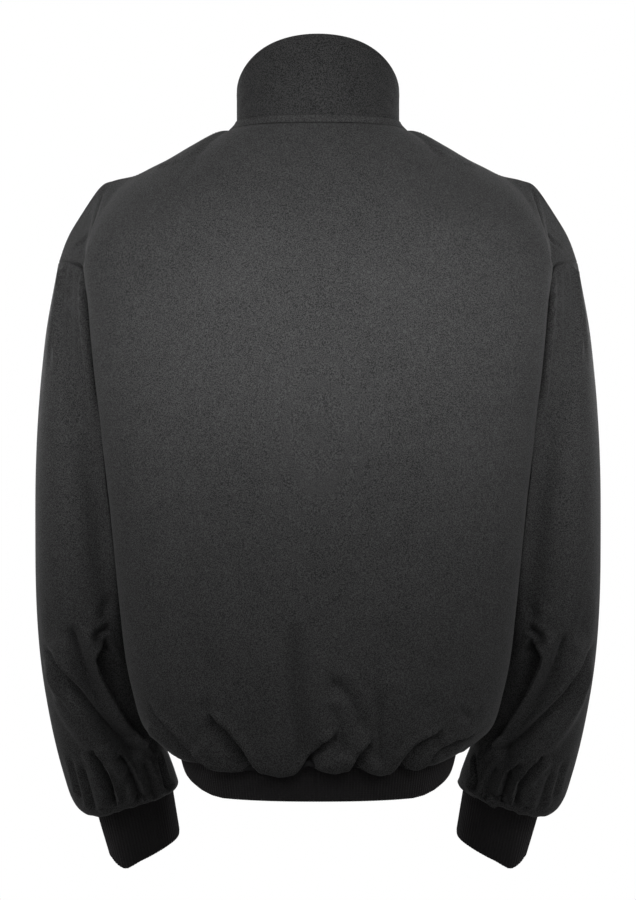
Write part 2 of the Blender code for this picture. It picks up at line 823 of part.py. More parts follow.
def add_pull(home):
    """Flat tab with an eye round the slider's pin; its origin is on the pin's axis."""
    made = bmesh.new()
    front = PULL_THICK / 2
    box(made, (-PULL_HALF_WIDTH, -front, -PULL_LENGTH), (PULL_HALF_WIDTH, front, -PULL_EYE - 0.4))
    mesh = bpy.data.meshes.new("zip_pull")
    made.to_mesh(mesh)
    made.free()
    mesh.materials.append(material("zip_metal"))
    tab = bpy.data.objects.new("zip_pull", mesh)
    home.objects.link(tab)
    tab.matrix_world = slider_frame() @ Matrix.Translation(Vector((0, -PIN_OUT, PIN_UP)) * MM)
    turn = Matrix.Rotation(math.pi / 2, 4, "Y")
    for name, radius, width, operation in (
        ("eye", PULL_EYE_OUTER, 2 * PULL_HALF_WIDTH, "UNION"),
        ("eye_hole", PULL_EYE, 12.0, "DIFFERENCE"),
    ):
        made = bmesh.new()
        bmesh.ops.create_cone(made, cap_ends=True, segments=14, radius1=radius * MM,
                              radius2=radius * MM, depth=width * MM, matrix=turn)
        join(tab, name, made, operation)
    return tab


# ---- assembly ---------------------------------------------------------------------
def build():
    for item in list(bpy.data.objects):
        bpy.data.objects.remove(item, do_unlink=True)
    home = bpy.data.collections.new("pilot_jacket")
    bpy.context.scene.collection.children.link(home)

    front = front_grid()
    sleeve = sleeve_grid()
    cuff = cuff_grid()
    # name, grid, which way its face normals come out, closed round, wall, material
    pieces = (
        ("back", back_grid(), 1, False, CLOTH_WALL, "twill"),
        ("front_left", front, -1, False, CLOTH_WALL, "twill"),
        ("front_right", mirrored(front), 1, False, CLOTH_WALL, "twill"),
        ("sleeve_left", sleeve, -1, True, CLOTH_WALL, "twill"),
        ("sleeve_right", mirrored(sleeve), 1, True, CLOTH_WALL, "twill"),
        ("cuff_left", cuff, -1, True, RIB_WALL, "rib_knit"),
        ("cuff_right", mirrored(cuff), 1, True, RIB_WALL, "rib_knit"),
        ("collar_band", band_grid(), 1, False, COLLAR_WALL, "twill"),
        ("collar", collar_grid(), 1, False, COLLAR_WALL, "twill"),
        ("hem_rib", rib_grid(), 1, False, RIB_WALL, "rib_knit"),
    )
    totals = {}
    for _, grid, facing, wraps, _, _ in pieces:
        add_normals(totals, grid, facing, wraps)
    for name, grid, facing, wraps, thickness, slot in pieces:
        wall(name, grid, totals, facing, thickness, slot, wraps, home)
    lofted("zip_tape_left", tape_sections(1), "zip_tape", home)
    lofted("zip_tape_right", tape_sections(-1), "zip_tape", home)
    add_slider(home)
    add_pull(home)


build()
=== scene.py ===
import math
from collections import namedtuple

import bmesh
import bpy
import numpy as np
from mathutils import Matrix, Vector


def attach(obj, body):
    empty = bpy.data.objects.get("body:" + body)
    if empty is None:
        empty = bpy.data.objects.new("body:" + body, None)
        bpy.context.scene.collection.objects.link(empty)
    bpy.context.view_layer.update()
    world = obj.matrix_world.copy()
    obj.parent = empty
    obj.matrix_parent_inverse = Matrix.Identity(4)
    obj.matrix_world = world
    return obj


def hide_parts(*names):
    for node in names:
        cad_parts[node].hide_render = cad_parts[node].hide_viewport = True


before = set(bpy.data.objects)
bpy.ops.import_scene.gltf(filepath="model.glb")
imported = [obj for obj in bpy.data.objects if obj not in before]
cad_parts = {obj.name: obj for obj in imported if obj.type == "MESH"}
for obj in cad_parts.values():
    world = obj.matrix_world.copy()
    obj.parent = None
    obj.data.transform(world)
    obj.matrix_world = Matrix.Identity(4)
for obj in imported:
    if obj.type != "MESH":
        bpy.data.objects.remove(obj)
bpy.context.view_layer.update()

MM = 0.001

# =============================================================================
# Camera. It stands behind the wearer, level with the lower chest, far enough
# back that the sleeves and the collar keep nearly their true widths.
# =============================================================================
CAMERA_DISTANCE = 2.6
CAMERA_LEVEL = -0.322
VIEW_HEIGHT = 0.9           # height of the view at the wearer's middle
SENSOR = 36.0


def linked(name, data):
    """Puts a new object into the scene."""
    made = bpy.data.objects.new(name, data)
    bpy.context.scene.collection.objects.link(made)
    return made


camera_data = bpy.data.cameras.new("camera")
camera_data.sensor_fit = "VERTICAL"
camera_data.sensor_height = SENSOR
camera_data.lens = SENSOR * CAMERA_DISTANCE / VIEW_HEIGHT
camera_data.clip_end = 50.0
camera = linked("camera", camera_data)
camera.location = (0.0, CAMERA_DISTANCE, CAMERA_LEVEL)
camera.rotation_euler = (math.radians(90), 0.0, math.radians(180))
bpy.context.scene.camera = camera

# =============================================================================
# Back. One panel of charcoal twill from the neck and shoulder seams down to the
# rolled hem, sewn to the sleeves at dropped armholes and to the fronts at the
# sides. Tables are in millimetres, in the solid's own sections.
# =============================================================================
CLOTH_WALL = 1.5
FRONT_EDGE = 5.0
NECK_HALF_WIDTH = 85.0
NECK_BACK = 70.0
NECK_FRONT = 78.0
NECK_LEVEL = -2.0
NECK_FRONT_DROP = 43.0
NECK_SHARE = 0.36           # the neck seam ends and the shoulder seam starts
FOLD_SHARE = 0.84           # the panel turns forward round the edge of the back
UNDERARM_ROW = 8
FLAT_FROM_ROW = 13
FLAT_HEM_Y = -121.6
FLAT_HEM_Z = -626.0
FLAT_REACH = 45.0

Body = namedtuple("Body", "mid_z mid_y fold_x fold_y fold_z side_x side_y side_z")
BACK = (
    Body(-2, 70, 218.7, -3, -59.3, 0, 0, 0),
    Body(-32, 95, 222.5, 16, -81, 0, 0, 0),
    Body(-68, 113, 226.5, 38, -108, 0, 0, 0),
    Body(-110, 127, 229.5, 53, -142, 0, 0, 0),
    Body(-156, 137, 224.8, 58, -180, 0, 0, 0),
    Body(-203, 142, 221.5, 59, -218, 0, 0, 0),
    Body(-248, 144, 217.6, 58, -256, 0, 0, 0),
    Body(-288, 145, 213.2, 55, -292, 0, 0, 0),
    Body(-322, 145, 210.4, 52, -322, 195, -18, -300),
    Body(-374, 144, 204.6, 48, -374, 189, -16, -368),
    Body(-424, 142, 200.0, 43, -424, 186, -15, -424),
    Body(-476, 140, 195.0, 38, -477, 183, -15, -477),
    Body(-527, 137, 189.5, 34, -527, 179, -15, -527),
    Body(-562, 135, 182.2, 32, -562, 173, -15, -562),
    Body(-589, 132, 174.5, 30, -589, 166, -14, -589),
    Body(-608, 130, 163.5, 27, -607, 157, -14, -607),
    Body(-624, 127, 152.0, 24, -624, 149, -13, -624),
    Body(-631, 123.5, 145.5, 22, -631, 144.5, -12, -631),
    Body(-626, 119.4, 139.8, 18, -627, 140.4, -12, -627),
)

Ridge = namedtuple("Ridge", "share x y z")
SHOULDER = (
    Ridge(0.36, 85.0, 0, -2.3),
    Ridge(0.39, 98, 0, -3.4),
    Ridge(0.44, 113, 0, -12.0),
    Ridge(0.55, 134, -1, -26.0),
    Ridge(0.64, 153.5, -1, -35.5),
    Ridge(0.74, 179, -2, -46.6),
    Ridge(0.79, 203, -3, -51.8),
    Ridge(0.84, 218.7, -3, -59.3),
    Ridge(0.92, 242, -6, -93.0),
    Ridge(0.96, 252.5, -8, -112.0),
    Ridge(1.00, 260.5, -10, -134),
)

Point = namedtuple("Point", "x y z")
ARMHOLE = (
    Point(260.5, -10, -134),
    Point(231, 43, -142.8),
    Point(216, 44, -203),
    Point(203, 17, -268),
    Point(195, -18, -300),
    Point(199, -52, -266),
    Point(212, -70, -202),
    Point(238, -56, -141),
)

# A crease is a soft trough along a path of (x, z) places, seen from the panel's
# own side. lip raises the cloth on both sides of it, lean makes the side to the
# left of the path steeper, and fade_in and fade_out are lengths at its ends.
# lap is how far the crest beside a crease leans over it.
Crease = namedtuple("Crease", "path depth width lip lean fade_in fade_out lap", defaults=(0.0,))
DROPPED_SHOULDER = (
    # where the panel turns down over the wearer's left arm
    Crease(((214, -60), (218, -78), (221, -94), (225, -110), (229, -140)), 2.0, 9, 0.15, 0.45, 12, 8),
    Crease(((216, -66), (219, -82), (222, -98), (226, -112)), 1.9, 2.6, 0.20, 0.35, 6, 4),
    Crease(((242, -119.5), (237, -118.5), (232, -116), (227, -109)), 2.0, 2.6, 0.20, 0.0, 4, 3),
)


def mirrored(crease):
    """The same crease on the other half of the jacket."""
    return crease._replace(path=tuple((-x, z) for x, z in crease.path), lean=-crease.lean)


BACK_CREASES = (
    # cloth lapping over itself at the hem, from the wearer's left to the right
    Crease(((166, -566), (158, -572), (150, -580), (138, -592), (126, -606), (114, -619), (98, -632)),
           11.0, 9, 0.40, 0.76, 20, 4, 5.6),
    Crease(((108, -574), (97, -580), (87, -588), (78, -598), (70, -609), (63, -621), (54, -638)),
           10.5, 12, 0.36, 0.74, 16, 4, 5.5),
    Crease(((74, -600), (70, -612), (66, -624)), 5.0, 6, 0.10, 0.2, 8, 8),
    Crease(((118, -560), (106, -570), (96, -574)), 2.0, 10, 0.20, 0.0, 14, 14),
    Crease(((20, -480), (21, -520), (19, -556), (16, -584), (13, -606), (11, -632)),
           8.4, 13, 0.34, 0.15, 56, 4),
    Crease(((-20, -590), (-8, -597), (2, -606), (9, -617), (17, -632)), 8.0, 9, 0.38, -0.70, 10, 4, 4.8),
    Crease(((-8, -543), (-22, -548), (-33, -563), (-40, -580), (-46, -598)), 3.6, 9, 0.30, 0.2, 8, 16),
    Crease(((-10, -560), (-19, -578), (-23, -600), (-22, -618)), 3.4, 7, 0.25, 0.0, 14, 10),
    Crease(((-53, -600), (-45, -604), (-39, -611), (-35, -620), (-31, -634)), 7.6, 8, 0.42, -0.68, 9, 4, 4.4),
    Crease(((-56, -536), (-58, -560), (-59, -590), (-60, -624)), 4.6, 8, 0.30, 0.1, 34, 10),
    Crease(((-64, -470), (-70, -510), (-80, -550)), 2.6, 24, 0.10, 0.0, 40, 40),
    Crease(((-122, -590), (-108, -594), (-94, -601), (-85, -610), (-79, -620), (-74, -636)),
           8.8, 10, 0.40, -0.72, 14, 4, 5.2),
    Crease(((-152, -598), (-138, -599), (-125, -604), (-113, -612), (-105, -622), (-99, -634)),
           7.8, 9, 0.40, -0.72, 12, 4, 4.8),
    Crease(((-134, -570), (-142, -577), (-150, -579), (-160, -568)), 2.4, 6, 0.35, 0.2, 12, 12),
    Crease(((-88, -556), (-100, -568), (-116, -574)), 1.8, 12, 0.25, 0.0, 18, 16),
    Crease(((120, -490), (104, -530), (90, -556)), 1.8, 22, 0.10, 0.0, 40, 30),
    *DROPPED_SHOULDER,
    *map(mirrored, DROPPED_SHOULDER),
    # slack below the shoulder seams
    Crease(((132, -36), (106, -52), (84, -60)), 1.2, 14, 0.20, 0.0, 20, 30),
    Crease(((-130, -38), (-108, -50), (-88, -62)), 1.2, 14, 0.20, 0.0, 20, 30),
    # the turned seam allowances, standing up in two short ridges behind each shoulder seam
    Crease(((101, -20), (108, -23), (121, -28.5), (135, -34.2)), -2.0, 2.2, 0.45, 0.0, 10, 8),
    Crease(((125, -34), (138, -38.3), (152, -41), (160, -43)), -1.7, 2.2, 0.45, 0.0, 6, 8),
    Crease(((-101, -20), (-108, -23), (-122, -29), (-134, -34.0)), -2.0, 2.2, 0.45, 0.0, 10, 8),
    Crease(((-126, -34), (-139, -38.6), (-151, -41), (-158, -43)), -1.7, 2.2, 0.45, 0.0, 6, 8),
)

# The rolled hem hangs unevenly: how far its lower edge is raised, across the panel.
Scallop = namedtuple("Scallop", "x rise")
BACK_HEM = (
    Scallop(-145, 13), Scallop(-138, 13), Scallop(-126, 10), Scallop(-113, 5.5), Scallop(-101, 3),
    Scallop(-94, 1), Scallop(-83, 3), Scallop(-77.5, 6), Scallop(-70, -1), Scallop(-59.5, -2.5),
    Scallop(-50, 0), Scallop(-40, 5), Scallop(-33, 6), Scallop(-30, 3), Scallop(-16.5, 0),
    Scallop(-1.5, 3), Scallop(9, 8), Scallop(13, 7), Scallop(23, -1.5), Scallop(36.5, -3.5),
    Scallop(49, -1), Scallop(60, 2.5), Scallop(79, 0), Scallop(96, 1), Scallop(117, 7),
    Scallop(132, 9), Scallop(145, 10),
)


def spline(values, places, closed=False):
    """Catmull-Rom curve through rows of values, read at an array of fractional places."""
    values = np.asarray(values, float)
    places = np.asarray(places, float)
    count = len(values)
    index = np.floor(places).astype(int)
    if closed:
        a, b, c, d = (values[(index + k) % count] for k in (-1, 0, 1, 2))
    else:
        index = np.clip(index, 0, count - 2)
        ends = np.concatenate([[2 * values[0] - values[1]], values, [2 * values[-1] - values[-2]]])
        a, b, c, d = (ends[index + k] for k in (0, 1, 2, 3))
    part = (places - index).reshape(places.shape + (1,) * (values.ndim - 1))
    bend = (2 * a - 5 * b + 4 * c - d) * part ** 2 + (3 * b - a - 3 * c + d) * part ** 3
    return (2 * b + (c - a) * part + bend) / 2


def ease(value):
    """0 to 1, leaving and arriving level."""
    value = np.clip(value, 0.0, 1.0)
    return value * value * (3 - 2 * value)


def signed_power(value, power):
    """A power that keeps the value's sign: below 1 it squares off a round section."""
    return np.sign(value) * np.abs(value) ** power


def read_table(table, at):
    """A table of two columns read at given places, straight between its rows."""
    return np.interp(at, *zip(*table))


def run_length(line):
    """How far along a line of points each one lies."""
    steps = np.linalg.norm(np.diff(line, axis=0), axis=1)
    return np.concatenate([[0.0], np.cumsum(steps)])


def neck_ring(angle, half_width=NECK_HALF_WIDTH, back=NECK_BACK, front=NECK_FRONT):
    """Points of a ring round the neck, at angles from the middle of the back."""
    cosine = np.cos(angle)
    reach = np.where(cosine > 0, back, front)
    drop = NECK_FRONT_DROP * np.maximum(0.0, -cosine) ** 1.6
    return np.stack([half_width * np.sin(angle), reach * cosine, NECK_LEVEL - drop], axis=-1)


def body_surface(table, rows, shares, behind):
    """Outer face of half a body panel, for rows down it and shares across it."""
    rows = np.asarray(rows, float)[:, None]
    shares = np.asarray(shares, float)[None, :]
    names = Body._fields
    read = {name: spline([getattr(row, name) for row in table], rows) for name in names}
    fold = np.stack([read["fold_x"], read["fold_y"], read["fold_z"]], axis=-1)
    turn = np.clip(shares / FOLD_SHARE, 0, 1) * math.pi / 2
    sine = np.sin(turn) ** 0.95
    cosine = np.maximum(np.cos(turn), 0) ** 0.85
    wide = np.stack([
        read["fold_x"] * sine,
        read["fold_y"] + (read["mid_y"] - read["fold_y"]) * cosine,
        read["mid_z"] + (read["fold_z"] - read["mid_z"]) * np.clip(shares / FOLD_SHARE, 0, 1) ** 2,
    ], axis=-1)
    around = 4 * rows / UNDERARM_ROW
    arm = spline(ARMHOLE, around if behind else 8 - around, True)
    low = np.stack([read["side_x"], read["side_y"], read["side_z"]], axis=-1)
    side = np.where((rows < UNDERARM_ROW)[..., None], arm, low)
    forward = -1 if behind else 1
    reach = np.linalg.norm(fold - side, axis=-1, keepdims=True)
    first = fold + np.array((0.03, 0.32 * forward, 0.0)) * reach
    last = side + np.array((0.02, -0.26 * forward, 0.10)) * reach
    part = np.clip((shares - FOLD_SHARE) / (1 - FOLD_SHARE), 0, 1)[..., None]
    rest = 1 - part
    turned = fold * rest ** 3 + first * 3 * rest ** 2 * part
    turned = turned + last * 3 * rest * part ** 2 + side * part ** 3
    section = np.where((shares <= FOLD_SHARE)[..., None], wide, turned)

    turn = np.clip(shares / NECK_SHARE, 0, 1) * math.pi / 2
    neck = neck_ring(turn if behind else math.pi - turn)
    marks = [row.share for row in SHOULDER]
    seam = spline([row[1:] for row in SHOULDER], np.interp(shares, marks, range(len(marks))))
    top = np.where((shares < NECK_SHARE)[..., None], neck, seam)
    settle = ease(rows / 3.0)[..., None]
    settle = np.where((shares >= 1)[..., None] & (rows < UNDERARM_ROW)[..., None], 1.0, settle)
    points = top + (section - top) * settle
    if not behind:
        points[..., 0] = np.maximum(points[..., 0], FRONT_EDGE)
        last_row = len(table) - 1
        step = np.clip((rows - FLAT_FROM_ROW) / (last_row - FLAT_FROM_ROW), 0, 1)
        hold = (1 - ease((points[..., 0] - FRONT_EDGE) / FLAT_REACH)) * (rows > FLAT_FROM_ROW)
        start = table[FLAT_FROM_ROW]
        flat_y = start.mid_y + (FLAT_HEM_Y - start.mid_y) * (0.4 * step + 0.6 * ease(step))
        flat_z = start.mid_z + (FLAT_HEM_Z - start.mid_z) * step
        points[..., 1] += (flat_y - points[..., 1]) * hold
        points[..., 2] += (flat_z - points[..., 2]) * hold
    return points


EDGE_STEPS = (0.25, 0.8, 1.8)   # distances from an edge that always get a row, for its roll


def even_places(places, points, pitch):
    """Places about a pitch apart along a finely sampled line, closer at its ends."""
    steps = np.linalg.norm(np.diff(points, axis=0), axis=1)
    length = np.concatenate([[0.0], np.cumsum(steps)])
    pitch = np.broadcast_to(pitch, (len(places),))
    count = np.concatenate([[0.0], np.cumsum(steps / ((pitch[1:] + pitch[:-1]) / 2))])
    inner = np.interp(np.linspace(0, count[-1], int(math.ceil(count[-1])) + 1), count, places)
    near = [0.0, *EDGE_STEPS]
    ends = np.interp(near + [length[-1] - d for d in near], length, places)
    gap = np.interp(EDGE_STEPS[-1] * 1.4, length, places) - places[0]
    far = places[-1] - np.interp(length[-1] - EDGE_STEPS[-1] * 1.4, length, places)
    inner = inner[(inner > places[0] + gap) & (inner < places[-1] - far)]
    return np.unique(np.concatenate([inner, ends]))


def facing_normals(points, facing, closed=False):
    """Outward unit normals of a grid of points."""
    if closed:
        across = np.roll(points, -1, axis=1) - np.roll(points, 1, axis=1)
    else:
        across = np.gradient(points, axis=1)
    down = np.gradient(points, axis=0)
    normal = np.cross(across, down) * facing
    return normal / np.maximum(np.linalg.norm(normal, axis=-1, keepdims=True), 1e-9)


def edge_distance(points, closed=False):
    """Distance of each point from the grid's first and last rows and columns."""
    down = np.linalg.norm(np.diff(points, axis=0), axis=-1)
    down = np.concatenate([np.zeros((1, points.shape[1])), np.cumsum(down, axis=0)])
    found = [down, down[-1] - down]
    if not closed:
        across = np.linalg.norm(np.diff(points, axis=1), axis=-1)
        across = np.concatenate([np.zeros((points.shape[0], 1)), np.cumsum(across, axis=1)], axis=1)
        found += [across, across[:, -1:] - across]
    return found


def on_cloth(path, points, normals, side):
    """A path of (x, z) places laid on the seen side of a grid, with the cloth's normals there."""
    flat = points.reshape(-1, 3)
    outward = normals.reshape(-1, 3)
    shown = outward[:, 1] * side > 0.05
    flat = flat[shown]
    count = len(path)
    path = spline(path, np.linspace(0, count - 1, 5 * (count - 1) + 1))
    gaps = (flat[None, :, 0] - path[:, :1]) ** 2 + (flat[None, :, 2] - path[:, 1:]) ** 2
    nearest = np.argmin(gaps, axis=1)
    spot = flat[nearest]
    facing = outward[shown][nearest]
    slope = (path[:, 0] - spot[:, 0]) * facing[:, 0] + (path[:, 1] - spot[:, 2]) * facing[:, 2]
    slope = slope / facing[:, 1]
    line = np.stack([path[:, 0], spot[:, 1] - np.clip(slope, -3, 3), path[:, 1]], axis=-1)
    return line, facing


def crease_relief(creases, points, normals, side):
    """How far creases move each point of a grid: its height, then its shift along the cloth.
    The side is +1 behind and -1 in front; lengths are in millimetres."""
    flat = points.reshape(-1, 3)
    outward = normals.reshape(-1, 3)
    height = np.zeros(len(flat))
    shift = np.zeros(flat.shape)
    for crease in creases:
        line, _ = on_cloth(crease.path, points, normals, side)
        lengths = np.linalg.norm(np.diff(line, axis=0), axis=1)
        total = lengths.sum()
        reach = crease.width * 5
        low = line.min(axis=0) - reach
        high = line.max(axis=0) + reach
        near = np.where(np.all((flat > low) & (flat < high), axis=1))[0]
        near = near[outward[near, 1] * side > -0.5]
        spot = flat[near]
        best = np.full(len(near), 1e9)
        along = np.zeros(len(near))
        hand = np.ones(len(near))
        toward = np.zeros(spot.shape)
        done = 0.0
        for a, b, length in zip(line[:-1], line[1:], lengths):
            run = b - a
            part = np.clip((spot - a) @ run / (run @ run), 0, 1)
            away = spot - (a + part[:, None] * run)
            distance = np.linalg.norm(away, axis=1)
            closer = distance < best
            best = np.where(closer, distance, best)
            along = np.where(closer, done + part * length, along)
            beside = np.cross(outward[near], np.broadcast_to(run, spot.shape))
            turned = np.einsum("ij,ij->i", beside, away)
            hand = np.where(closer, np.sign(turned), hand)
            toward[closer] = away[closer]
            done += length
        fade = ease(along / crease.fade_in) * ease((total - along) / crease.fade_out)
        width = crease.width * np.where(hand > 0, 1 - crease.lean, 1 + crease.lean)
        place = best / width
        trough = 0.55 * np.exp(-place ** 2) + 0.45 * np.exp(-(2.4 * place) ** 2)
        lips = crease.lip * np.exp(-((place - 1.7) / 0.85) ** 2)
        height[near] += crease.depth * fade * (lips - trough)
        if crease.lap:
            steep = crease.width * (1 - abs(crease.lean))
            crest = np.exp(-((best / steep - 1.5) / 1.3) ** 2)
            amount = crease.lap * fade * crest * (hand * crease.lean > 0)
            shift[near] -= toward * (amount / np.maximum(best, 1e-6))[:, None]
    return height.reshape(points.shape[:2]), shift.reshape(points.shape)


def rolled_edge(distances, radii):
    """How far a cloth's face turns in at its edges, for edges rolled to one radius or to their own."""
    turned = []
    if np.isscalar(radii):
        radii = [radii] * len(distances)
    for distance, radius in zip(distances, radii):
        near = np.clip(1 - distance / radius, 0, 1)
        turned.append(radius * (1 - np.sqrt(1 - near ** 2)))
    return np.maximum.reduce(turned)


def cloth_piece(name, points, wall, facing, tuck, outside, closed=False, lining=None):
    """A closed thin wall over a grid of outer points, with a UV map in metres."""
    rows, columns = points.shape[:2]
    normals = facing_normals(points, facing, closed)
    outer = points - normals * tuck[..., None]
    depth = np.maximum(wall - np.minimum(tuck, wall / 2 - 0.05), tuck + 0.25)
    inner = points - normals * depth[..., None]
    vertices = np.concatenate([outer.reshape(-1, 3), inner.reshape(-1, 3)]) * MM
    spans = columns if closed else columns - 1
    i, j = np.meshgrid(np.arange(rows - 1), np.arange(spans), indexing="ij")
    n = (j + 1) % columns
    above = i * columns
    below = above + columns
    front = np.stack([above + j, above + n, below + n, below + j], axis=-1).reshape(-1, 4)
    back = front[:, ::-1] + rows * columns
    j = np.arange(spans)
    n = (j + 1) % columns
    shift = rows * columns
    last = (rows - 1) * columns
    strips = [
        np.stack([j + shift, n + shift, n, j], axis=-1),
        np.stack([last + j, last + n, last + n + shift, last + j + shift], axis=-1),
    ]
    if not closed:
        i = np.arange(rows - 1) * columns
        strips.append(np.stack([i, i + columns, i + columns + shift, i + shift], axis=-1))
        k = i + columns - 1
        strips.append(np.stack([k + shift, k + columns + shift, k + columns, k], axis=-1))
    strips = np.concatenate(strips)
    faces = np.concatenate([front, back, strips])
    if facing < 0:
        faces = faces[:, ::-1]
    mesh = bpy.data.meshes.new(name)
    mesh.from_pydata(vertices.tolist(), [], faces.tolist())
    mesh.shade_smooth()
    mesh.set_sharp_from_angle(angle=math.radians(65))

    across = np.linalg.norm(np.diff(points, axis=1), axis=-1).mean(axis=0)
    down = np.linalg.norm(np.diff(points, axis=0), axis=-1).mean(axis=1)
    u = np.concatenate([[0.0], np.cumsum(across)])[None, :] + np.zeros((rows, 1))
    v = np.concatenate([[0.0], np.cumsum(down)])[:, None] + np.zeros((1, columns))
    uv = np.stack([u, -v], axis=-1).reshape(-1, 2) * MM
    uv = np.concatenate([uv, uv])
    layer = mesh.uv_layers.new(name="cloth")
    corners = np.empty(len(mesh.loops), int)
    mesh.loops.foreach_get("vertex_index", corners)
    layer.data.foreach_set("uv", uv[corners].astype(np.float32).ravel())
    # how deep each place lies in a seam, kept to paint shade into the seam grooves, and which side of the
    # cloth it is on
    seam = np.clip(tuck / 0.9, 0, 1) ** 1.5
    painted_seam_shade = mesh.attributes.new("seam", "FLOAT", "POINT")
    painted_seam_shade.data.foreach_set("value", np.concatenate([seam.ravel(), seam.ravel()]).astype(np.float32))
    if lining is not None:
        sides = np.zeros(len(faces), int)
        sides[len(front):2 * len(front)] = 1
        mesh.polygons.foreach_set("material_index", sides)
    mesh.materials.append(outside)
    if lining is not None:
        mesh.materials.append(lining)
    return linked(name, mesh)


def edge_line(points, normals, edge, distance):
    """Points and normals along a line that keeps its distance from one edge of a grid."""
    if edge in ("top", "bottom"):
        points = points.transpose(1, 0, 2)
        normals = normals.transpose(1, 0, 2)
    if edge in ("bottom", "right"):
        points = points[:, ::-1]
        normals = normals[:, ::-1]
    steps = np.linalg.norm(np.diff(points, axis=1), axis=-1)
    lengths = np.concatenate([np.zeros((len(points), 1)), np.cumsum(steps, axis=1)], axis=1)
    found = []
    for line, facing, length in zip(points, normals, lengths):
        place = np.interp(distance, length, np.arange(len(line)))
        k = min(int(place), len(line) - 2)
        part = place - k
        found.append((line[k] * (1 - part) + line[k + 1] * part, facing[k]))
    return np.array([f[0] for f in found]), np.array([f[1] for f in found])


THREAD_DIP = 0.05           # how far a stitch's ends go into the cloth


def stitches(name, lines, material, pitch=3.1, length=2.7, radius=0.42):
    """Rows of sewn stitches: short tapered beads of thread lying on the cloth."""
    vertices = []
    faces = []
    for points, normals in lines:
        run = run_length(points)
        centres = np.arange(pitch, run[-1] - pitch / 2, pitch)

        def at(places, values):
            return np.stack([np.interp(places, run, column) for column in values.T], axis=-1)

        start = at(centres - length / 2, points)
        middle = at(centres, points)
        end = at(centres + length / 2, points)
        up = at(centres, normals)
        up /= np.linalg.norm(up, axis=1, keepdims=True)
        ahead = (end - start) / np.maximum(np.linalg.norm(end - start, axis=1, keepdims=True), 1e-9)
        side = np.cross(up, ahead)
        for a, m, b, u, w in zip(start, middle, end, up, side):
            base = len(vertices)
            vertices += [a - u * THREAD_DIP, b - u * THREAD_DIP]
            vertices += [m + w * radius, m + u * radius, m - w * radius, m - u * radius]
            for k in range(4):
                n = (k + 1) % 4
                faces.append((base, base + 2 + k, base + 2 + n))
                faces.append((base + 1, base + 2 + n, base + 2 + k))
    mesh = bpy.data.meshes.new(name)
    mesh.from_pydata((np.array(vertices) * MM).tolist(), [], faces)
    mesh.shade_smooth()
    mesh.materials.append(material)
    piece = linked(name, mesh)
    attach(piece, "jacket")
    return piece


class Signal:
    """One output of a shader node, used like a number in sums; colours go through mix."""

    def __init__(self, tree, socket=None):
        self.tree = tree
        self.socket = socket

    def node(self, kind, inputs=(), output=0, **settings):
        """Adds any other node: its type, its inputs by name or number, and its settings."""
        made = self.tree.nodes.new("ShaderNode" + kind)
        for key, value in settings.items():
            setattr(made, key, value)
        for key, value in dict(inputs).items():
            self.feed(made.inputs[key], value)
        return Signal(self.tree, made.outputs[output])

    def feed(self, socket, value):
        if isinstance(value, Signal):
            self.tree.links.new(value.socket, socket)
        else:
            socket.default_value = value

    def math(self, operation, *values):
        return self.node("Math", dict(enumerate(values)), operation=operation)

    def mix(self, low, high):
        """A colour between two, by this signal as the share of the second."""
        inputs = {0: self, 6: low, 7: high}
        return self.node("Mix", inputs, output=2, data_type="RGBA")

    def ramp(self, low, high):
        """0 up to low, 1 from high, straight between."""
        return self.node("MapRange", {0: self, 1: low, 2: high})

    def wave(self):
        """The sine of this signal, brought between 0 and 1."""
        return self.math("SINE", self) * 0.5 + 0.5

    def cloth_places(self):
        """Places across and up the flat cloth, in metres."""
        uv = self.node("UVMap", uv_map="cloth")
        return [self.node("SeparateXYZ", {0: uv}, output=k) for k in (0, 1)]

    def noise(self, scale, detail, roughness=0.5):
        """Noise by place in the room, so it holds still on every piece that does."""
        place = self.node("NewGeometry")
        inputs = {"Vector": place, "Scale": scale, "Detail": detail, "Roughness": roughness}
        return self.node("TexNoise", inputs)

    def bump(self, strength, distance, **normal):
        """A surface normal from this signal as a height."""
        inputs = {"Strength": strength, "Distance": distance, "Height": self, **normal}
        return self.node("Bump", inputs)

    def coat(self, shader, inputs):
        """Feeds a shader's inputs by name."""
        for key, value in inputs.items():
            self.feed(shader.inputs[key], value)

    def __add__(self, other):
        return self.math("ADD", self, other)

    def __sub__(self, other):
        return self.math("SUBTRACT", self, other)

    def __mul__(self, other):
        return self.math("MULTIPLY", self, other)


def new_material(name):
    """A new material, a signal to start its sums from, and its shader."""
    made = bpy.data.materials.new(name)
    made.use_nodes = True
    tree = made.node_tree
    return made, Signal(tree), tree.nodes["Principled BSDF"]


def twill(name, dark, light, brushed):
    """Fine charcoal twill: diagonal ribs, a soft heather grain and a matt, faintly brushed face, with painted
    shade turning it near black in the seam grooves.
    """
    made, start, shader = new_material(name)
    u, v = start.cloth_places()
    grain = start.noise(1150.0, 1.0, 0.6)
    cloud = start.noise(9.0, 4.0, 0.55)
    nap = start.noise(55.0, 5.0, 0.65)
    diagonal = (u * 4600.0 + v * 6600.0).wave()
    crossed = (v * 9000.0 - u * 2600.0).wave()
    shade = grain.ramp(0.43, 0.57) * 0.70 + diagonal * 0.10
    shade = shade + nap.ramp(0.3, 0.7) * 0.10 + cloud.ramp(0.3, 0.7) * 0.10
    # painted shade: the cloth turns near black where it lies deep in a seam's groove
    sunk = start.node("Attribute", output=2, attribute_name="seam") * 0.88
    weave = (diagonal * 0.55 + crossed * 0.2 + grain * 0.5).bump(0.32, 0.0005)
    start.coat(shader, {
        "Base Color": sunk.mix(shade.mix(dark, light), (0.002, 0.002, 0.002, 1.0)),
        "Roughness": nap * 0.12 + 0.66,
        "Normal": (nap + cloud).bump(0.25, 0.0025, Normal=weave),
        "Specular IOR Level": 0.04,
        "Sheen Weight": brushed,
        "Sheen Roughness": 0.40,
        "Sheen Tint": (0.78, 0.78, 0.79, 1.0),
    })
    return made


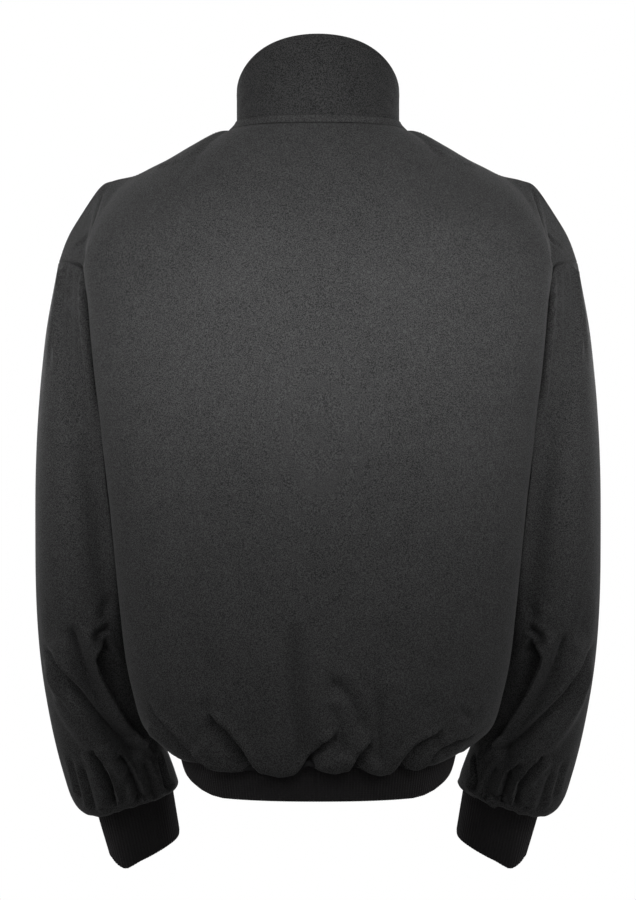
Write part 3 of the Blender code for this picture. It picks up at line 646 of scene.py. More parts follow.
TWILL_DARK = (0.0175, 0.0175, 0.0177, 1.0)
TWILL_LIGHT = (0.0885, 0.0885, 0.0891, 1.0)
cloth = twill("charcoal_twill", TWILL_DARK, TWILL_LIGHT, 0.08)

# The jacket is lined with plain black satin.
lining, start, shader = new_material("black_satin_lining")
slub = start.noise(240.0, 3.0)
start.coat(shader, {
    "Base Color": slub.ramp(0.35, 0.65).mix((0.006, 0.006, 0.0065, 1), (0.011, 0.011, 0.0115, 1)),
    "Roughness": slub * 0.12 + 0.52,
    "Normal": start.noise(16.0, 2.0).bump(0.35, 0.004),
    "Specular IOR Level": 0.06,
})


def sewing_thread(name, colour):
    """Spun thread, slightly glossier than the cloth it is sewn through."""
    made, start, shader = new_material(name)
    spin = start.noise(1400.0, 2.0)
    dull = tuple(channel * 0.55 for channel in colour[:3]) + (1.0,)
    start.coat(shader, {
        "Base Color": spin.ramp(0.35, 0.65).mix(dull, colour),
        "Roughness": spin * 0.2 + 0.45,
    })
    return made


thread = sewing_thread("charcoal_thread", (0.007, 0.007, 0.0072, 1.0))


def held_still(distances, widths):
    """0 at a grid's seams and 1 inside it, easing over a width from each edge."""
    return np.prod([ease(away / width) for away, width in zip(distances, widths)], axis=0)


def settled(points, facing, closed, creases_behind, creases_front, hold, roll=None):
    """The grid with its creases pressed in along its normals, held still near its seams.
    From the row where an edge rolls under, they are pressed in level."""
    normals = facing_normals(points, facing, closed)
    behind, slid_behind = crease_relief(creases_behind, points, normals, 1)
    before, slid_before = crease_relief(creases_front, points, normals, -1)
    if roll is not None:
        normals[roll:] = normals[roll]
    return points + (normals * (behind + before)[..., None] + slid_behind + slid_before) * hold[..., None]


def scalloped(points, rows, table, turn_row=14.2):
    """Raises the rolled hem by the table, fading out above the roll."""
    points[..., 2] += read_table(table, points[..., 0]) * ease((rows - turn_row) / 2.4)[:, None]
    return points


def body_rows(table, behind):
    """Places of a panel's rows: closer by the shoulder seam and closest over the hem's creases."""
    dense = np.linspace(0, len(table) - 1, 900)
    middle = body_surface(table, dense, [0.3], behind)[:, 0]
    level = middle[:, 2]
    pitch = np.where(level > -150, 4.0, np.where(level > -450, 8.0, 2.6))
    return even_places(dense, middle, pitch)


def half_shares(table, start, behind, pitch):
    """Places of half a panel's columns, evenly apart two rows below the underarm."""
    dense = np.linspace(start, 1, 600)
    line = body_surface(table, [UNDERARM_ROW + 2.0], dense, behind)[0]
    return even_places(dense, line, pitch)


SHOULDER_TIP = 200.0        # beyond this the rows by the shoulder seam run close together
TIP_ROWS = 6
HEM_ROLL_ROW = 15.0         # from here creases go in level, because the hem rolls under
SEAM_HOLD = (14, 14, 8, 8)  # widths held free of creases at the top, hem and sides
SHOULDER_STITCH = 6.0
ARMHOLE_STITCHES = (2.6, 5.6)


def eased_tip(points):
    """Lays the rows nearest the shoulder seam straight at its outer end."""
    start = points[0]
    end = points[TIP_ROWS]
    share = ease((np.abs(start[:, 0]) - SHOULDER_TIP) / 14)[:, None]
    for row in range(1, TIP_ROWS):
        straight = start + (end - start) * row / TIP_ROWS
        points[row] += (straight - points[row]) * share
    return points


def armhole_lines(points, normals, rows, edge):
    """Two rows of topstitching beside an armhole, down to the underarm."""
    upper = (rows < UNDERARM_ROW) & (rows > 0.15)
    found = []
    for distance in ARMHOLE_STITCHES:
        line, facing = edge_line(points, normals, edge, distance)
        found.append((line[upper], facing[upper]))
    return found


rows = body_rows(BACK, True)
half = half_shares(BACK, 0.0, True, 2.3)
half = half[(half == 0) | (half > 0.006)]
right = body_surface(BACK, rows, half, True)
left = right[:, :0:-1] * np.array((-1.0, 1.0, 1.0))
back_points = eased_tip(np.concatenate([left, right], axis=1))
hold = held_still(edge_distance(back_points), SEAM_HOLD)
roll = int(np.searchsorted(rows, HEM_ROLL_ROW))
back_points = settled(back_points, 1, False, BACK_CREASES, (), hold, roll)
back_points = scalloped(back_points, rows, BACK_HEM)
neck_roll = np.where(np.abs(back_points[0, :, 0]) < NECK_HALF_WIDTH, 3.0, 1.3)[None, :]
tuck = rolled_edge(edge_distance(back_points), (neck_roll, 1.1, 2.0, 2.0))
back = cloth_piece("back_cloth", back_points, CLOTH_WALL, 1, tuck, cloth, lining=lining)
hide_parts("back")
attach(back, "jacket")

normals = facing_normals(back_points, 1)
lines = []
seam, facing = edge_line(back_points, normals, "top", SHOULDER_STITCH)
for sign, edge in ((1, "right"), (-1, "left")):
    over = (seam[:, 0] * sign > 90) & (seam[:, 0] * sign < 246)
    lines.append((seam[over], facing[over]))
    lines += armhole_lines(back_points, normals, rows, edge)
back_stitches = stitches("back_stitches", lines, thread)

# =============================================================================
# Fronts. Two mirrored panels of the same twill, from the shoulder seams to the
# rolled hem. Each is sewn to its half of the zip down the middle.
# =============================================================================
FRONT = (
    Body(-45, -78, 218.7, -3, -59.3, 0, 0, 0),
    Body(-66, -97, 221.5, -32, -80, 0, 0, 0),
    Body(-93, -112, 226, -58, -108, 0, 0, 0),
    Body(-128, -125, 228, -77, -142, 0, 0, 0),
    Body(-168, -136, 222, -88, -180, 0, 0, 0),
    Body(-208, -143, 216, -93, -218, 0, 0, 0),
    Body(-250, -147, 209, -94, -256, 0, 0, 0),
    Body(-289, -149, 203, -91, -292, 0, 0, 0),
    Body(-322, -149, 199, -86, -322, 195, -18, -300),
    Body(-374, -148, 194, -79, -374, 189, -16, -368),
    Body(-424, -147, 190, -72, -424, 186, -15, -424),
    Body(-476, -145, 186, -66, -477, 183, -15, -477),
    Body(-527, -142, 181, -61, -527, 179, -15, -527),
    Body(-562, -139, 175, -57, -562, 173, -15, -562),
    Body(-589, -136, 168, -53, -589, 166, -14, -589),
    Body(-608, -132, 158, -49, -607, 157, -14, -607),
    Body(-624, -128, 148, -45, -624, 149, -13, -624),
    Body(-631, -124, 142, -43, -631, 144.5, -12, -631),
    Body(-627, -120.4, 138, -42, -627, 140.4, -12, -627),
)
LEFT_FRONT_CREASES = (
    Crease(((158, -570), (144, -584), (130, -602), (118, -618), (106, -634)), 5.5, 9, 0.30, -0.6, 16, 4),
    Crease(((116, -566), (104, -580), (94, -598), (86, -616), (78, -636)), 7.5, 11, 0.30, -0.65, 20, 4),
    Crease(((70, -486), (68, -530), (62, -570), (56, -604), (52, -632)), 4.8, 12, 0.25, 0.1, 50, 5),
    Crease(((28, -590), (36, -602), (42, -614), (46, -634)), 4.5, 7, 0.35, -0.5, 12, 4),
    Crease(((214, -58), (217, -90), (219, -122)), 3.0, 9, 0.35, -0.4, 12, 20),
    Crease(((242, -124), (234, -116), (224, -112)), 2.2, 4, 0.45, 0.0, 5, 5),
)
RIGHT_FRONT_CREASES = (
    Crease(((-150, -578), (-136, -592), (-122, -606), (-112, -620), (-102, -634)), 5.0, 9, 0.30, 0.6, 16, 4),
    Crease(((-122, -552), (-108, -572), (-96, -594), (-88, -614), (-82, -636)), 7.5, 11, 0.30, 0.65, 22, 4),
    Crease(((-62, -508), (-60, -546), (-62, -580), (-60, -632)), 4.8, 10, 0.25, -0.1, 50, 5),
    Crease(((-26, -598), (-32, -608), (-36, -618), (-38, -634)), 4.0, 6, 0.35, 0.5, 10, 4),
    Crease(((-214, -58), (-217, -90), (-219, -122)), 3.0, 9, 0.35, 0.4, 12, 20),
    Crease(((-240, -122), (-232, -114), (-224, -108)), 2.2, 4, 0.45, 0.0, 5, 5),
)
FRONT_HEM = (
    Scallop(-145, 12), Scallop(-128, 8), Scallop(-112, 3), Scallop(-102, 5), Scallop(-92, 0),
    Scallop(-82, 6), Scallop(-72, -2), Scallop(-60, 4), Scallop(-50, -2), Scallop(-38, 4),
    Scallop(-28, 1), Scallop(-18, 0), Scallop(18, 0), Scallop(30, -1), Scallop(45, 4.5),
    Scallop(56, 1), Scallop(64, -2), Scallop(78, 6), Scallop(90, -2), Scallop(106, 5),
    Scallop(118, 3), Scallop(132, 8), Scallop(145, 11),
)

ZIP_EDGE_FLAT = 6.0         # the pressed edge beside the zip
FRONT_HOLD = (14, 14, 14, 8)

rows = body_rows(FRONT, False)
half = half_shares(FRONT, 0.018, False, 2.8)
half[0] = 0.0
front_points = eased_tip(body_surface(FRONT, rows, half, False))
roll = int(np.searchsorted(rows, HEM_ROLL_ROW))
for side, sign, creases in (("left", 1, LEFT_FRONT_CREASES), ("right", -1, RIGHT_FRONT_CREASES)):
    points = front_points * np.array((sign, 1.0, 1.0))
    edges = edge_distance(points)
    edges[2] = edges[2] - ZIP_EDGE_FLAT
    hold = held_still(edges, FRONT_HOLD)
    points = settled(points, -sign, False, (), creases, hold, roll)
    points = scalloped(points, rows, FRONT_HEM)
    neck_roll = np.where(np.abs(points[0, :, 0]) < NECK_HALF_WIDTH, 2.4, 1.3)[None, :]
    tuck = rolled_edge(edge_distance(points), (neck_roll, 1.1, 1.0, 2.0))
    piece = cloth_piece("front_" + side + "_cloth", points, CLOTH_WALL, -sign, tuck, cloth, lining=lining)
    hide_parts("front_" + side)
    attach(piece, "jacket")
    normals = facing_normals(points, -sign)
    lines = [edge_line(points, normals, "left", ZIP_EDGE_FLAT)]
    lines += armhole_lines(points, normals, rows, "right")
    sewn = stitches("front_" + side + "_stitches", lines, thread)

# =============================================================================
# Sleeves. Long, full tubes of twill set into the dropped armholes, bent a
# little at the elbow and gathered into the cuffs.
# =============================================================================
CUFF_SEAM = 0.24
CUFF_CLEARANCE = 0.9
CUFF_SQUARE = 0.88
SLEEVE_COLUMNS = 200
SLEEVE_HOLD = (8, 6)        # widths held free of creases at the armhole and the cuff
GATHER_ROW = 12.2           # from here the sleeve's end is drawn up
Ring = namedtuple("Ring", "out_x out_z in_x in_z mid_y half_depth back_drop")
SLEEVE = (
    Ring(270.0, -185, 206, -311, -16, 56, 0),
    Ring(276.6, -235, 208, -330, -18, 62, 0),
    Ring(281.5, -290, 206, -355, -22, 68, 0),
    Ring(284.2, -345, 202, -388, -26, 72, 0),
    Ring(285.3, -401, 198, -427, -33, 75, 0),
    Ring(285.7, -457, 193, -470, -41, 76, 0),
    Ring(284.5, -503, 188, -512, -49, 75, 0),
    Ring(281.5, -545, 180, -550, -58, 72, 0),
    Ring(276.0, -587, 170, -586, -68, 68, 1),
    Ring(269.5, -624, 161, -618, -78, 62, 3),
    Ring(262.0, -656, 152, -643, -86, 56, 4),
    Ring(254.5, -680, 147, -659, -91, 51, 6),
    Ring(244.0, -694, 145.5, -671, -94, 45, 8),
)
CUFF = (
    Ring(233.0, -680, 153.5, -655, -93, 34, 8),
    Ring(216.5, -742, 144.0, -720, -106, 34, 14),
)
# How far the cuff's lower edge hangs behind, by degrees round from its outer end.
Hang = namedtuple("Hang", "degrees drop")
CUFF_HANG = (
    Hang(0, 0), Hang(14, 0.5), Hang(26, 2.5), Hang(38, 7.5), Hang(50, 12.5), Hang(60, 16.0),
    Hang(68, 17.0), Hang(78, 15.5), Hang(90, 13), Hang(135, 6.5), Hang(180, 1),
)
# Creases of each sleeve, behind it and in front of it, placed as on a left sleeve.
LEFT_BEHIND = (
    # the elbow's pocket, and the long lapped edge that runs from it to the cuff
    Crease(((205, -499), (213, -502), (219, -507), (214, -512), (207, -512)), 4.5, 4.5, 0.40, 0.0, 5, 4),
    Crease(((208, -512), (215, -519), (220, -529), (217, -543), (209, -561), (200, -579), (190, -597),
            (178, -613), (166, -629)), 17.0, 14, 0.20, -0.78, 6, 12, 3.5),
    # two long valleys with a bright ridge between them
    Crease(((276, -517), (255, -542), (238, -565), (221, -589), (201, -612), (178, -632)),
           12.0, 8.6, 0.60, 0.32, 44, 10),
    Crease(((246, -492), (238, -520), (228, -552), (214, -580), (200, -602), (184, -618)),
           9.4, 8.6, 0.55, 0.16, 22, 12),
    Crease(((262, -560), (247, -584), (229, -606), (214, -622)), 4.0, 7, 0.45, 0.1, 18, 10),
    # gathers into the cuff
    Crease(((228, -620), (220, -632), (213, -649), (208, -665), (205, -684)),
           8.2, 4.4, 0.56, 0.42, 8, 2, 1.5),
    Crease(((204, -626), (194, -637), (187, -652), (182, -666), (181, -680)),
           8.2, 4.4, 0.56, 0.42, 8, 2, 1.5),
    Crease(((239, -640), (235, -658), (230, -680), (229, -690)), 4.0, 4.5, 0.45, 0.0, 10, 2),
    Crease(((177, -636), (172, -648), (168, -662), (166, -676)), 5.0, 4.2, 0.45, 0.2, 7, 2),
    Crease(((163, -632), (160, -645), (157, -658), (156, -668)), 4.0, 4.0, 0.45, 0.0, 6, 2),
    Crease(((196, -652), (196, -664), (194, -680)), 3.0, 3.6, 0.40, 0.0, 6, 2),
    Crease(((252, -630), (247, -652), (242, -676)), 2.6, 5.0, 0.40, 0.0, 14, 2),
    Crease(((252, -430), (242, -456), (232, -476), (222, -488)), 2.4, 12, 0.35, 0.0, 26, 10),
    Crease(((204, -470), (212, -482), (206, -492)), 2.0, 6, 0.35, 0.0, 8, 6),
    Crease(((268, -470), (260, -500), (250, -522)), 1.6, 12, 0.25, 0.0, 24, 18),
    # soft upright ridges where the sleeve's fullness starts at the armhole
    Crease(((255, -140), (257, -170), (259, -205), (260, -250)), -4.8, 4.6, 0.40, 0.0, 5, 40),
    Crease(((231, -146), (231, -180), (228, -220), (223, -258), (219, -300)), -5.0, 4.4, 0.40, 0.0, 5, 40),
    Crease(((245, -144), (244, -190), (242, -240)), 2.4, 6, 0.20, 0.0, 8, 40),
)
RIGHT_BEHIND = (
    Crease(((207, -498), (215, -503), (220, -509), (214, -514), (208, -512)), 4.5, 4.5, 0.40, 0.0, 5, 4),
    Crease(((209, -512), (217, -520), (221, -530), (215, -549), (205, -571), (192, -594),
            (179, -617), (167, -632)), 17.0, 14, 0.20, -0.78, 6, 12, 3.5),
    Crease(((278, -517), (259, -544), (245, -567), (225, -591), (205, -612), (180, -631)),
           11.4, 8.6, 0.60, 0.32, 44, 10),
    Crease(((246, -500), (239, -528), (226, -562), (212, -586), (196, -606), (182, -618)),
           8.8, 8.6, 0.55, 0.16, 22, 12),
    Crease(((266, -556), (252, -580), (236, -602), (220, -620)), 3.6, 7, 0.45, 0.1, 18, 10),
    Crease(((227, -627), (212, -644), (203, -660), (199, -684)), 8.2, 4.4, 0.56, 0.42, 8, 2, 1.5),
    Crease(((206, -634), (193, -648), (188, -664), (186, -680)), 7.6, 4.4, 0.56, 0.42, 8, 2, 1.5),
    Crease(((238, -646), (232, -662), (226, -688)), 3.6, 4.5, 0.45, 0.0, 10, 2),
    Crease(((182, -640), (175, -652), (171, -666), (170, -678)), 5.0, 4.2, 0.45, 0.2, 7, 2),
    Crease(((160, -632), (160, -645), (161, -658), (160, -668)), 4.0, 4.0, 0.45, 0.0, 6, 2),
    Crease(((214, -660), (212, -672), (212, -688)), 3.0, 3.6, 0.40, 0.0, 6, 2),
    Crease(((250, -634), (244, -656), (240, -676)), 2.4, 5.0, 0.40, 0.0, 14, 2),
    Crease(((246, -446), (238, -466), (230, -484)), 2.2, 12, 0.35, 0.0, 26, 10),
    Crease(((206, -474), (213, -484), (208, -493)), 2.0, 6, 0.35, 0.0, 8, 6),
    Crease(((270, -462), (262, -494), (254, -516)), 1.5, 12, 0.25, 0.0, 24, 18),
    Crease(((256, -140), (258, -172), (259, -210), (260, -244)), -4.6, 4.6, 0.40, 0.0, 5, 40),
    Crease(((231, -146), (230, -178), (227, -218), (223, -256), (219, -296)), -4.8, 4.4, 0.40, 0.0, 5, 40),
    Crease(((246, -144), (244, -186), (243, -232)), 2.4, 6, 0.20, 0.0, 8, 40),
)
# How far each sleeve's gathered end is drawn up behind, by distance from the wearer's middle.
LEFT_END = (
    Scallop(140, 10), Scallop(145, 11), Scallop(151, 9), Scallop(156, 12), Scallop(162, 9.5),
    Scallop(168, 13.5), Scallop(174, 11.5), Scallop(182, 13), Scallop(188, 9), Scallop(194, 12),
    Scallop(198, 11), Scallop(203, 6.5), Scallop(207, 8), Scallop(212, 3), Scallop(225, 0.5),
    Scallop(231, 3), Scallop(237, 2), Scallop(244, 5),
)
RIGHT_END = (
    Scallop(140, 11), Scallop(147, 12), Scallop(158, 12), Scallop(163, 14), Scallop(168, 10.5),
    Scallop(173, 12), Scallop(177, 7.5), Scallop(183, 9), Scallop(188, 11.5), Scallop(193, 6.5),
    Scallop(199, 8), Scallop(205, 1.5), Scallop(214, 3), Scallop(221, 0), Scallop(228, 1.5),
    Scallop(233, 0), Scallop(244, 3),
)
LEFT_FRONT = (
    Crease(((196, -492), (208, -502), (222, -514), (232, -530), (240, -552)), 6.0, 8, 0.40, 0.3, 8, 20),
    Crease(((188, -520), (200, -544), (212, -570), (222, -600), (228, -632)), 8.0, 12, 0.25, 0.55, 12, 24),
    Crease(((272, -528), (258, -556), (246, -584), (238, -612), (234, -650)), 4.8, 10, 0.35, -0.2, 22, 20),
    Crease(((176, -580), (190, -600), (202, -626), (208, -650), (210, -680)), 5.0, 8, 0.40, 0.2, 14, 12),
    Crease(((262, -610), (250, -632), (240, -658), (234, -690)), 4.0, 7, 0.35, -0.2, 18, 12),
    Crease(((166, -612), (174, -634), (178, -656)), 3.5, 6, 0.35, 0.1, 10, 12),
    Crease(((190, -640), (192, -660), (190, -680)), 3.4, 5, 0.40, 0.0, 10, 12),
    Crease(((246, -452), (232, -470), (214, -480)), 2.5, 12, 0.30, 0.0, 22, 16),
    Crease(((252, -142), (254, -180), (256, -230)), -2.2, 6, 0.35, 0.0, 6, 40),
    Crease(((234, -146), (232, -180), (230, -214)), -2.0, 5, 0.40, 0.0, 6, 36),
)
RIGHT_FRONT = (
    Crease(((200, -486), (210, -500), (220, -516), (228, -536), (238, -560)), 5.5, 8, 0.40, 0.3, 8, 20),
    Crease(((184, -530), (198, -552), (214, -576), (226, -604), (230, -640)), 8.0, 12, 0.25, 0.55, 12, 24),
    Crease(((274, -540), (262, -564), (248, -588), (240, -618), (238, -654)), 4.8, 10, 0.35, -0.2, 22, 20),
    Crease(((172, -588), (186, -606), (200, -630), (206, -656), (208, -682)), 5.0, 8, 0.40, 0.2, 14, 12),
    Crease(((260, -622), (248, -640), (238, -662), (230, -690)), 4.0, 7, 0.35, -0.2, 18, 12),
    Crease(((186, -644), (188, -662), (186, -680)), 3.6, 5, 0.40, 0.0, 10, 12),
    Crease(((250, -446), (234, -462), (218, -476)), 2.5, 12, 0.30, 0.0, 22, 16),
    Crease(((253, -142), (255, -176), (257, -220)), -2.2, 6, 0.35, 0.0, 6, 40),
    Crease(((235, -146), (233, -176), (232, -206)), -2.0, 5, 0.40, 0.0, 6, 36),
)


def ring_points(ring, places, square=0.92, grow=0.0):
    """A ring round an arm: place 0 is its outer end, 2 behind, 4 inside, 6 in front."""
    angle = np.asarray(places) * math.pi / 4
    out = np.array((ring.out_x, ring.mid_y, ring.out_z))
    inner = np.array((ring.in_x, ring.mid_y, ring.in_z))
    half = (out - inner) / 2
    half = half * (1 + grow / np.linalg.norm(half))
    across = signed_power(np.cos(angle), square)
    along = signed_power(np.sin(angle), square)
    points = (out + inner) / 2 + across[..., None] * half
    points[..., 1] += (ring.half_depth + grow) * along
    points[..., 2] -= ring.back_drop * along
    return points


def mixed_ring(part):
    """The cuff's ring at a share of its length, above its top where the share is negative."""
    return Ring(*[a + (b - a) * part for a, b in zip(*CUFF)])


def sleeve_surface(places, along):
    """Outer face of the left sleeve, for places round it and rows down it."""
    rings = [spline(ARMHOLE, places, True)]
    rings += [ring_points(ring, places) for ring in SLEEVE]
    rings.append(ring_points(mixed_ring(CUFF_SEAM), places, CUFF_SQUARE, CUFF_CLEARANCE))
    return spline(np.array(rings), along)


dense = np.linspace(0, len(SLEEVE) + 1, 900)
line = sleeve_surface(np.array([1.0]), dense)[:, 0]
along = even_places(dense, line, np.where(line[:, 2] > -440, 5.0, 2.5))
places = np.arange(SLEEVE_COLUMNS) * 8 / SLEEVE_COLUMNS
sleeve_points = sleeve_surface(places, along)

# Behind, the sleeve lies close against the turned edge of the back, less so further down.
BESIDE_REACH = 26.0
x, y, z = np.moveaxis(sleeve_points, -1, 0)
edge_x = np.interp(-z, [-row.fold_z for row in BACK], [row.fold_x for row in BACK])
edge_y = np.interp(-z, [-row.fold_z for row in BACK], [row.fold_y for row in BACK])
below_edge = np.interp(-z, (145, 300, 420), (2.0, 3.0, 5.0))
share = np.interp(-z, (145, 172, 330, 430, 500, 560), (0.0, 1.0, 1.0, 0.9, 0.5, 0.0))
share = share * (1 - ease((x - edge_x - 1) / BESIDE_REACH)) * ease((x - edge_x + 5) / 4.5)
share = share * (ease((3.75 - places) / 0.25) * ease((places - 0.8) / 0.6))[None, :]
sleeve_points[..., 1] += np.maximum(edge_y - below_edge - y, 0) * share
for side, sign, behind, before, ends in (
    ("left", 1, LEFT_BEHIND, LEFT_FRONT, LEFT_END),
    ("right", -1, RIGHT_BEHIND, RIGHT_FRONT, RIGHT_END),
):
    hold = held_still(edge_distance(sleeve_points, True), SLEEVE_HOLD)
    points = settled(sleeve_points, -1, True, behind, before, hold)
    points = scalloped(points, along, ends, GATHER_ROW)
    points = points * np.array((sign, 1.0, 1.0))
    tuck = rolled_edge(edge_distance(points, True), (1.6, 1.1))
    name = "sleeve_" + side
    piece = cloth_piece(name + "_cloth", points, CLOTH_WALL, -sign, tuck, cloth, True, lining)
    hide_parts(name)
    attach(piece, "jacket")

# =============================================================================
# Collar. A narrow band sewn round the neck carries a tall standing leaf of
# doubled twill, higher at the back and open at the zip.
# =============================================================================
BAND_HEIGHT = 8.0
BAND_FLARE = 6.0            # how far its foot spreads over the shoulders
COLLAR_WALL = 3.0
COLLAR_HALF_WIDTH = 81.2
COLLAR_LEAN_FRONT = 7.0
COLLAR_TOP = 40.75
COLLAR_TOP_TILT = 39.5
COLLAR_TOP_DOME = 3.75
COLLAR_SHOULDER = 2.0
COLLAR_INSET = 3.4          # how far the leaf stands inside the neck seam
COLLAR_SUNK = 3.0           # how far it goes down inside the band
COLLAR_CREASES = (
    Crease(((76, 20), (64, 27), (52, 25)), 1.2, 5, 0.4, 0.0, 8, 8),
    Crease(((78, 30), (66, 36), (54, 34)), 0.9, 5, 0.4, 0.0, 8, 8),
    Crease(((-76, 18), (-64, 26), (-48, 24)), 1.3, 5, 0.4, 0.0, 8, 8),
    Crease(((-78, 30), (-62, 38), (-46, 32)), 1.0, 6, 0.4, 0.0, 8, 10),
    Crease(((33, 12), (32, 36), (34, 62)), 0.9, 9, 0.2, 0.0, 20, 20),
    Crease(((-34, 12), (-36, 36), (-34, 60)), 0.9, 9, 0.2, 0.0, 20, 20),
)


def neck_angles(half_width, pitch):
    """Angles about a pitch apart round the neck, from one front edge to the other."""
    end = math.pi - math.asin(FRONT_EDGE / half_width)
    dense = np.linspace(-end, end, 900)
    return even_places(dense, neck_ring(dense, half_width), pitch)


angles = neck_angles(NECK_HALF_WIDTH, 3.0)
points = []
for level in (BAND_HEIGHT, 7.7, 7.2, 6.2, 4.2, 2.2, 1.2, 0.4, -0.6, -2.0):
    inset = 0.8 + 1.6 * level / BAND_HEIGHT
    ring = neck_ring(np.abs(angles), NECK_HALF_WIDTH - inset, NECK_BACK - inset, NECK_FRONT - inset)
    flare = BAND_FLARE * np.abs(np.sin(angles)) ** 5 * max(1 - (level + 2) / BAND_HEIGHT, 0) ** 1.3
    ring[:, 0] = (ring[:, 0] + flare) * np.sign(angles)
    ring[:, 2] += level
    points.append(ring)
band_points = np.array(points)
tuck = rolled_edge(edge_distance(band_points), (1.6, 2.6, 1.2, 1.2))
band = cloth_piece("collar_band_cloth", band_points, COLLAR_WALL, 1, tuck, cloth)
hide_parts("collar_band")
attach(band, "jacket")

# The leaf is pressed flat over stiffening, so its face is less brushed than the body's. Its colours are a
# darker copy of the body's twill, painted shade for the lesser light that falls on the collar.
PRESSED_SHADED_DARK = (0.0105, 0.0105, 0.0107, 1.0)
PRESSED_SHADED_LIGHT = (0.0720, 0.0720, 0.0725, 1.0)
pressed_shaded_cloth = twill("pressed_charcoal_twill_painted_shade", PRESSED_SHADED_DARK, PRESSED_SHADED_LIGHT, 0.07)
angles = neck_angles(COLLAR_HALF_WIDTH, 2.6)
rise = np.concatenate([[1, 0.997, 0.99, 0.98, 0.965], np.linspace(0.95, 0.05, 26), [0.025, 0.01, 0]])
back_half = np.cos(angles) > 0
swell = np.where(back_half, COLLAR_SHOULDER * np.sin(2 * angles) ** 2, 0.0)
top_level = COLLAR_TOP + COLLAR_TOP_TILT * np.cos(angles)
top_level = top_level + COLLAR_TOP_DOME * np.cos(2 * angles) + swell
points = []
for up in rise:
    front = NECK_FRONT - COLLAR_INSET + COLLAR_LEAN_FRONT * up
    ring = neck_ring(np.abs(angles), COLLAR_HALF_WIDTH, NECK_BACK - COLLAR_INSET, front)
    ring[:, 0] *= np.sign(angles)
    base = ring[:, 2] + BAND_HEIGHT - COLLAR_SUNK
    ring[:, 2] = base + (top_level - base) * up
    points.append(ring)
collar_points = np.array(points)
hold = held_still(edge_distance(collar_points), (8, 5, 8, 8))
collar_points = settled(collar_points, 1, False, COLLAR_CREASES, (), hold)
tuck = rolled_edge(edge_distance(collar_points), (1.5, 2.3, 1.5, 1.5))
collar = cloth_piece("collar_cloth", collar_points, COLLAR_WALL, 1, tuck, pressed_shaded_cloth)
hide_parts("collar")
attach(collar, "jacket")

# Topstitching runs round the leaf, and a small stitched step ends the band's join on each side.
COLLAR_STITCH_IN = 6.0
STEP_MARK = ((68, 9.4), (61, 9.6), (59.5, 8.6), (57.5, 6.4))
normals = facing_normals(collar_points, 1)
lines = [edge_line(collar_points, normals, edge, COLLAR_STITCH_IN) for edge in ("top", "left", "right")]
collar_stitches = stitches("collar_stitches", lines, thread)
marks = []
for sign in (1, -1):
    marks.append(on_cloth([(x * sign, z) for x, z in STEP_MARK], collar_points, normals, 1))
collar_steps = stitches("collar_step_stitches", marks, thread, pitch=2.2, length=2.8, radius=1.0)

# =============================================================================
# Waist rib. A doubled band of black rib knit sewn inside the rolled hem, pulled
# in a little towards its folded lower edge, and joined at the middle of the back.
# =============================================================================
RIB_WALL = 2.4
RIB_HALF_WIDTH = 139.0
RIB_TAPER = 7.0
RIB_HALF_DEPTH = 118.0
RIB_TOP = -617.0
RIB_BOTTOM = -658.0
RIB_SQUARE = 0.84
RIB_PITCH = 3.0             # one rib and the groove beside it
RIB_COLUMNS = 6             # columns of the grid to each rib
RIB_RELIEF = 0.45
RIB_HIDDEN = 27.0           # how far above its solid's top it goes, inside the hem
RIB_JOIN = 1.4              # the seam that joins the band's ends, behind
RIB_JOIN_DEPTH = 1.0


def rib_knit(name, dark, light):
    """Black rib knit: small V stitches down each rib, matt wool-like surface."""
    made, start, shader = new_material(name)
    u, v = start.cloth_places()
    fuzz = start.noise(900.0, 3.0, 0.7)
    cloud = start.noise(26.0, 4.0)
    slant = start.math("ABSOLUTE", start.math("SINE", u * 2094.4))
    loops = (v * 4200.0 + slant * 2.0).wave()
    shade = fuzz.ramp(0.3, 0.7) * 0.5 + loops * 0.25 + cloud.ramp(0.3, 0.7) * 0.25
    start.coat(shader, {
        "Base Color": shade.mix(dark, light),
        "Roughness": fuzz * 0.1 + 0.82,
        "Normal": (loops + fuzz * 0.6).bump(0.5, 0.0007),
        "Specular IOR Level": 0.1,
        "Sheen Weight": 0.12,
        "Sheen Roughness": 0.5,
        "Sheen Tint": (0.8, 0.75, 0.78, 1.0),
    })
    return made


knit = rib_knit("black_rib_knit", (0.0085, 0.0080, 0.0083, 1.0), (0.029, 0.0275, 0.0285, 1.0))


def ribbed(points, facing, closed):
    """The grid with knit ribs raised along it, each over a few columns."""
    normals = facing_normals(points, facing, closed)
    columns = points.shape[1]
    wave = signed_power(np.cos(2 * math.pi * np.arange(columns) / RIB_COLUMNS), 0.7)
    return points + normals * (RIB_RELIEF * (wave - 1) / 2)[None, :, None]


# How far the rib's lower edge rises towards the wearer's sides.
Corner = namedtuple("Corner", "across rise")
RIB_CORNER = (
    Corner(0, 0), Corner(0.70, 0), Corner(0.78, 1.5), Corner(0.86, 5), Corner(0.94, 10.5), Corner(1, 16),
)


def rib_surface(angles, levels):
    """Outer face of the waist rib, for levels down it and angles round it from behind."""
    across = signed_power(np.sin(angles), RIB_SQUARE)
    depth = signed_power(np.cos(angles), RIB_SQUARE)
    rings = []
    for level in levels:
        part = max((RIB_TOP - level) / (RIB_TOP - RIB_BOTTOM), 0)
        half_width = RIB_HALF_WIDTH - RIB_TAPER * part
        level = level + read_table(RIB_CORNER, np.abs(across)) * part ** 2
        rings.append(np.stack([half_width * across, RIB_HALF_DEPTH * depth, level], axis=-1))
    return np.array(rings)


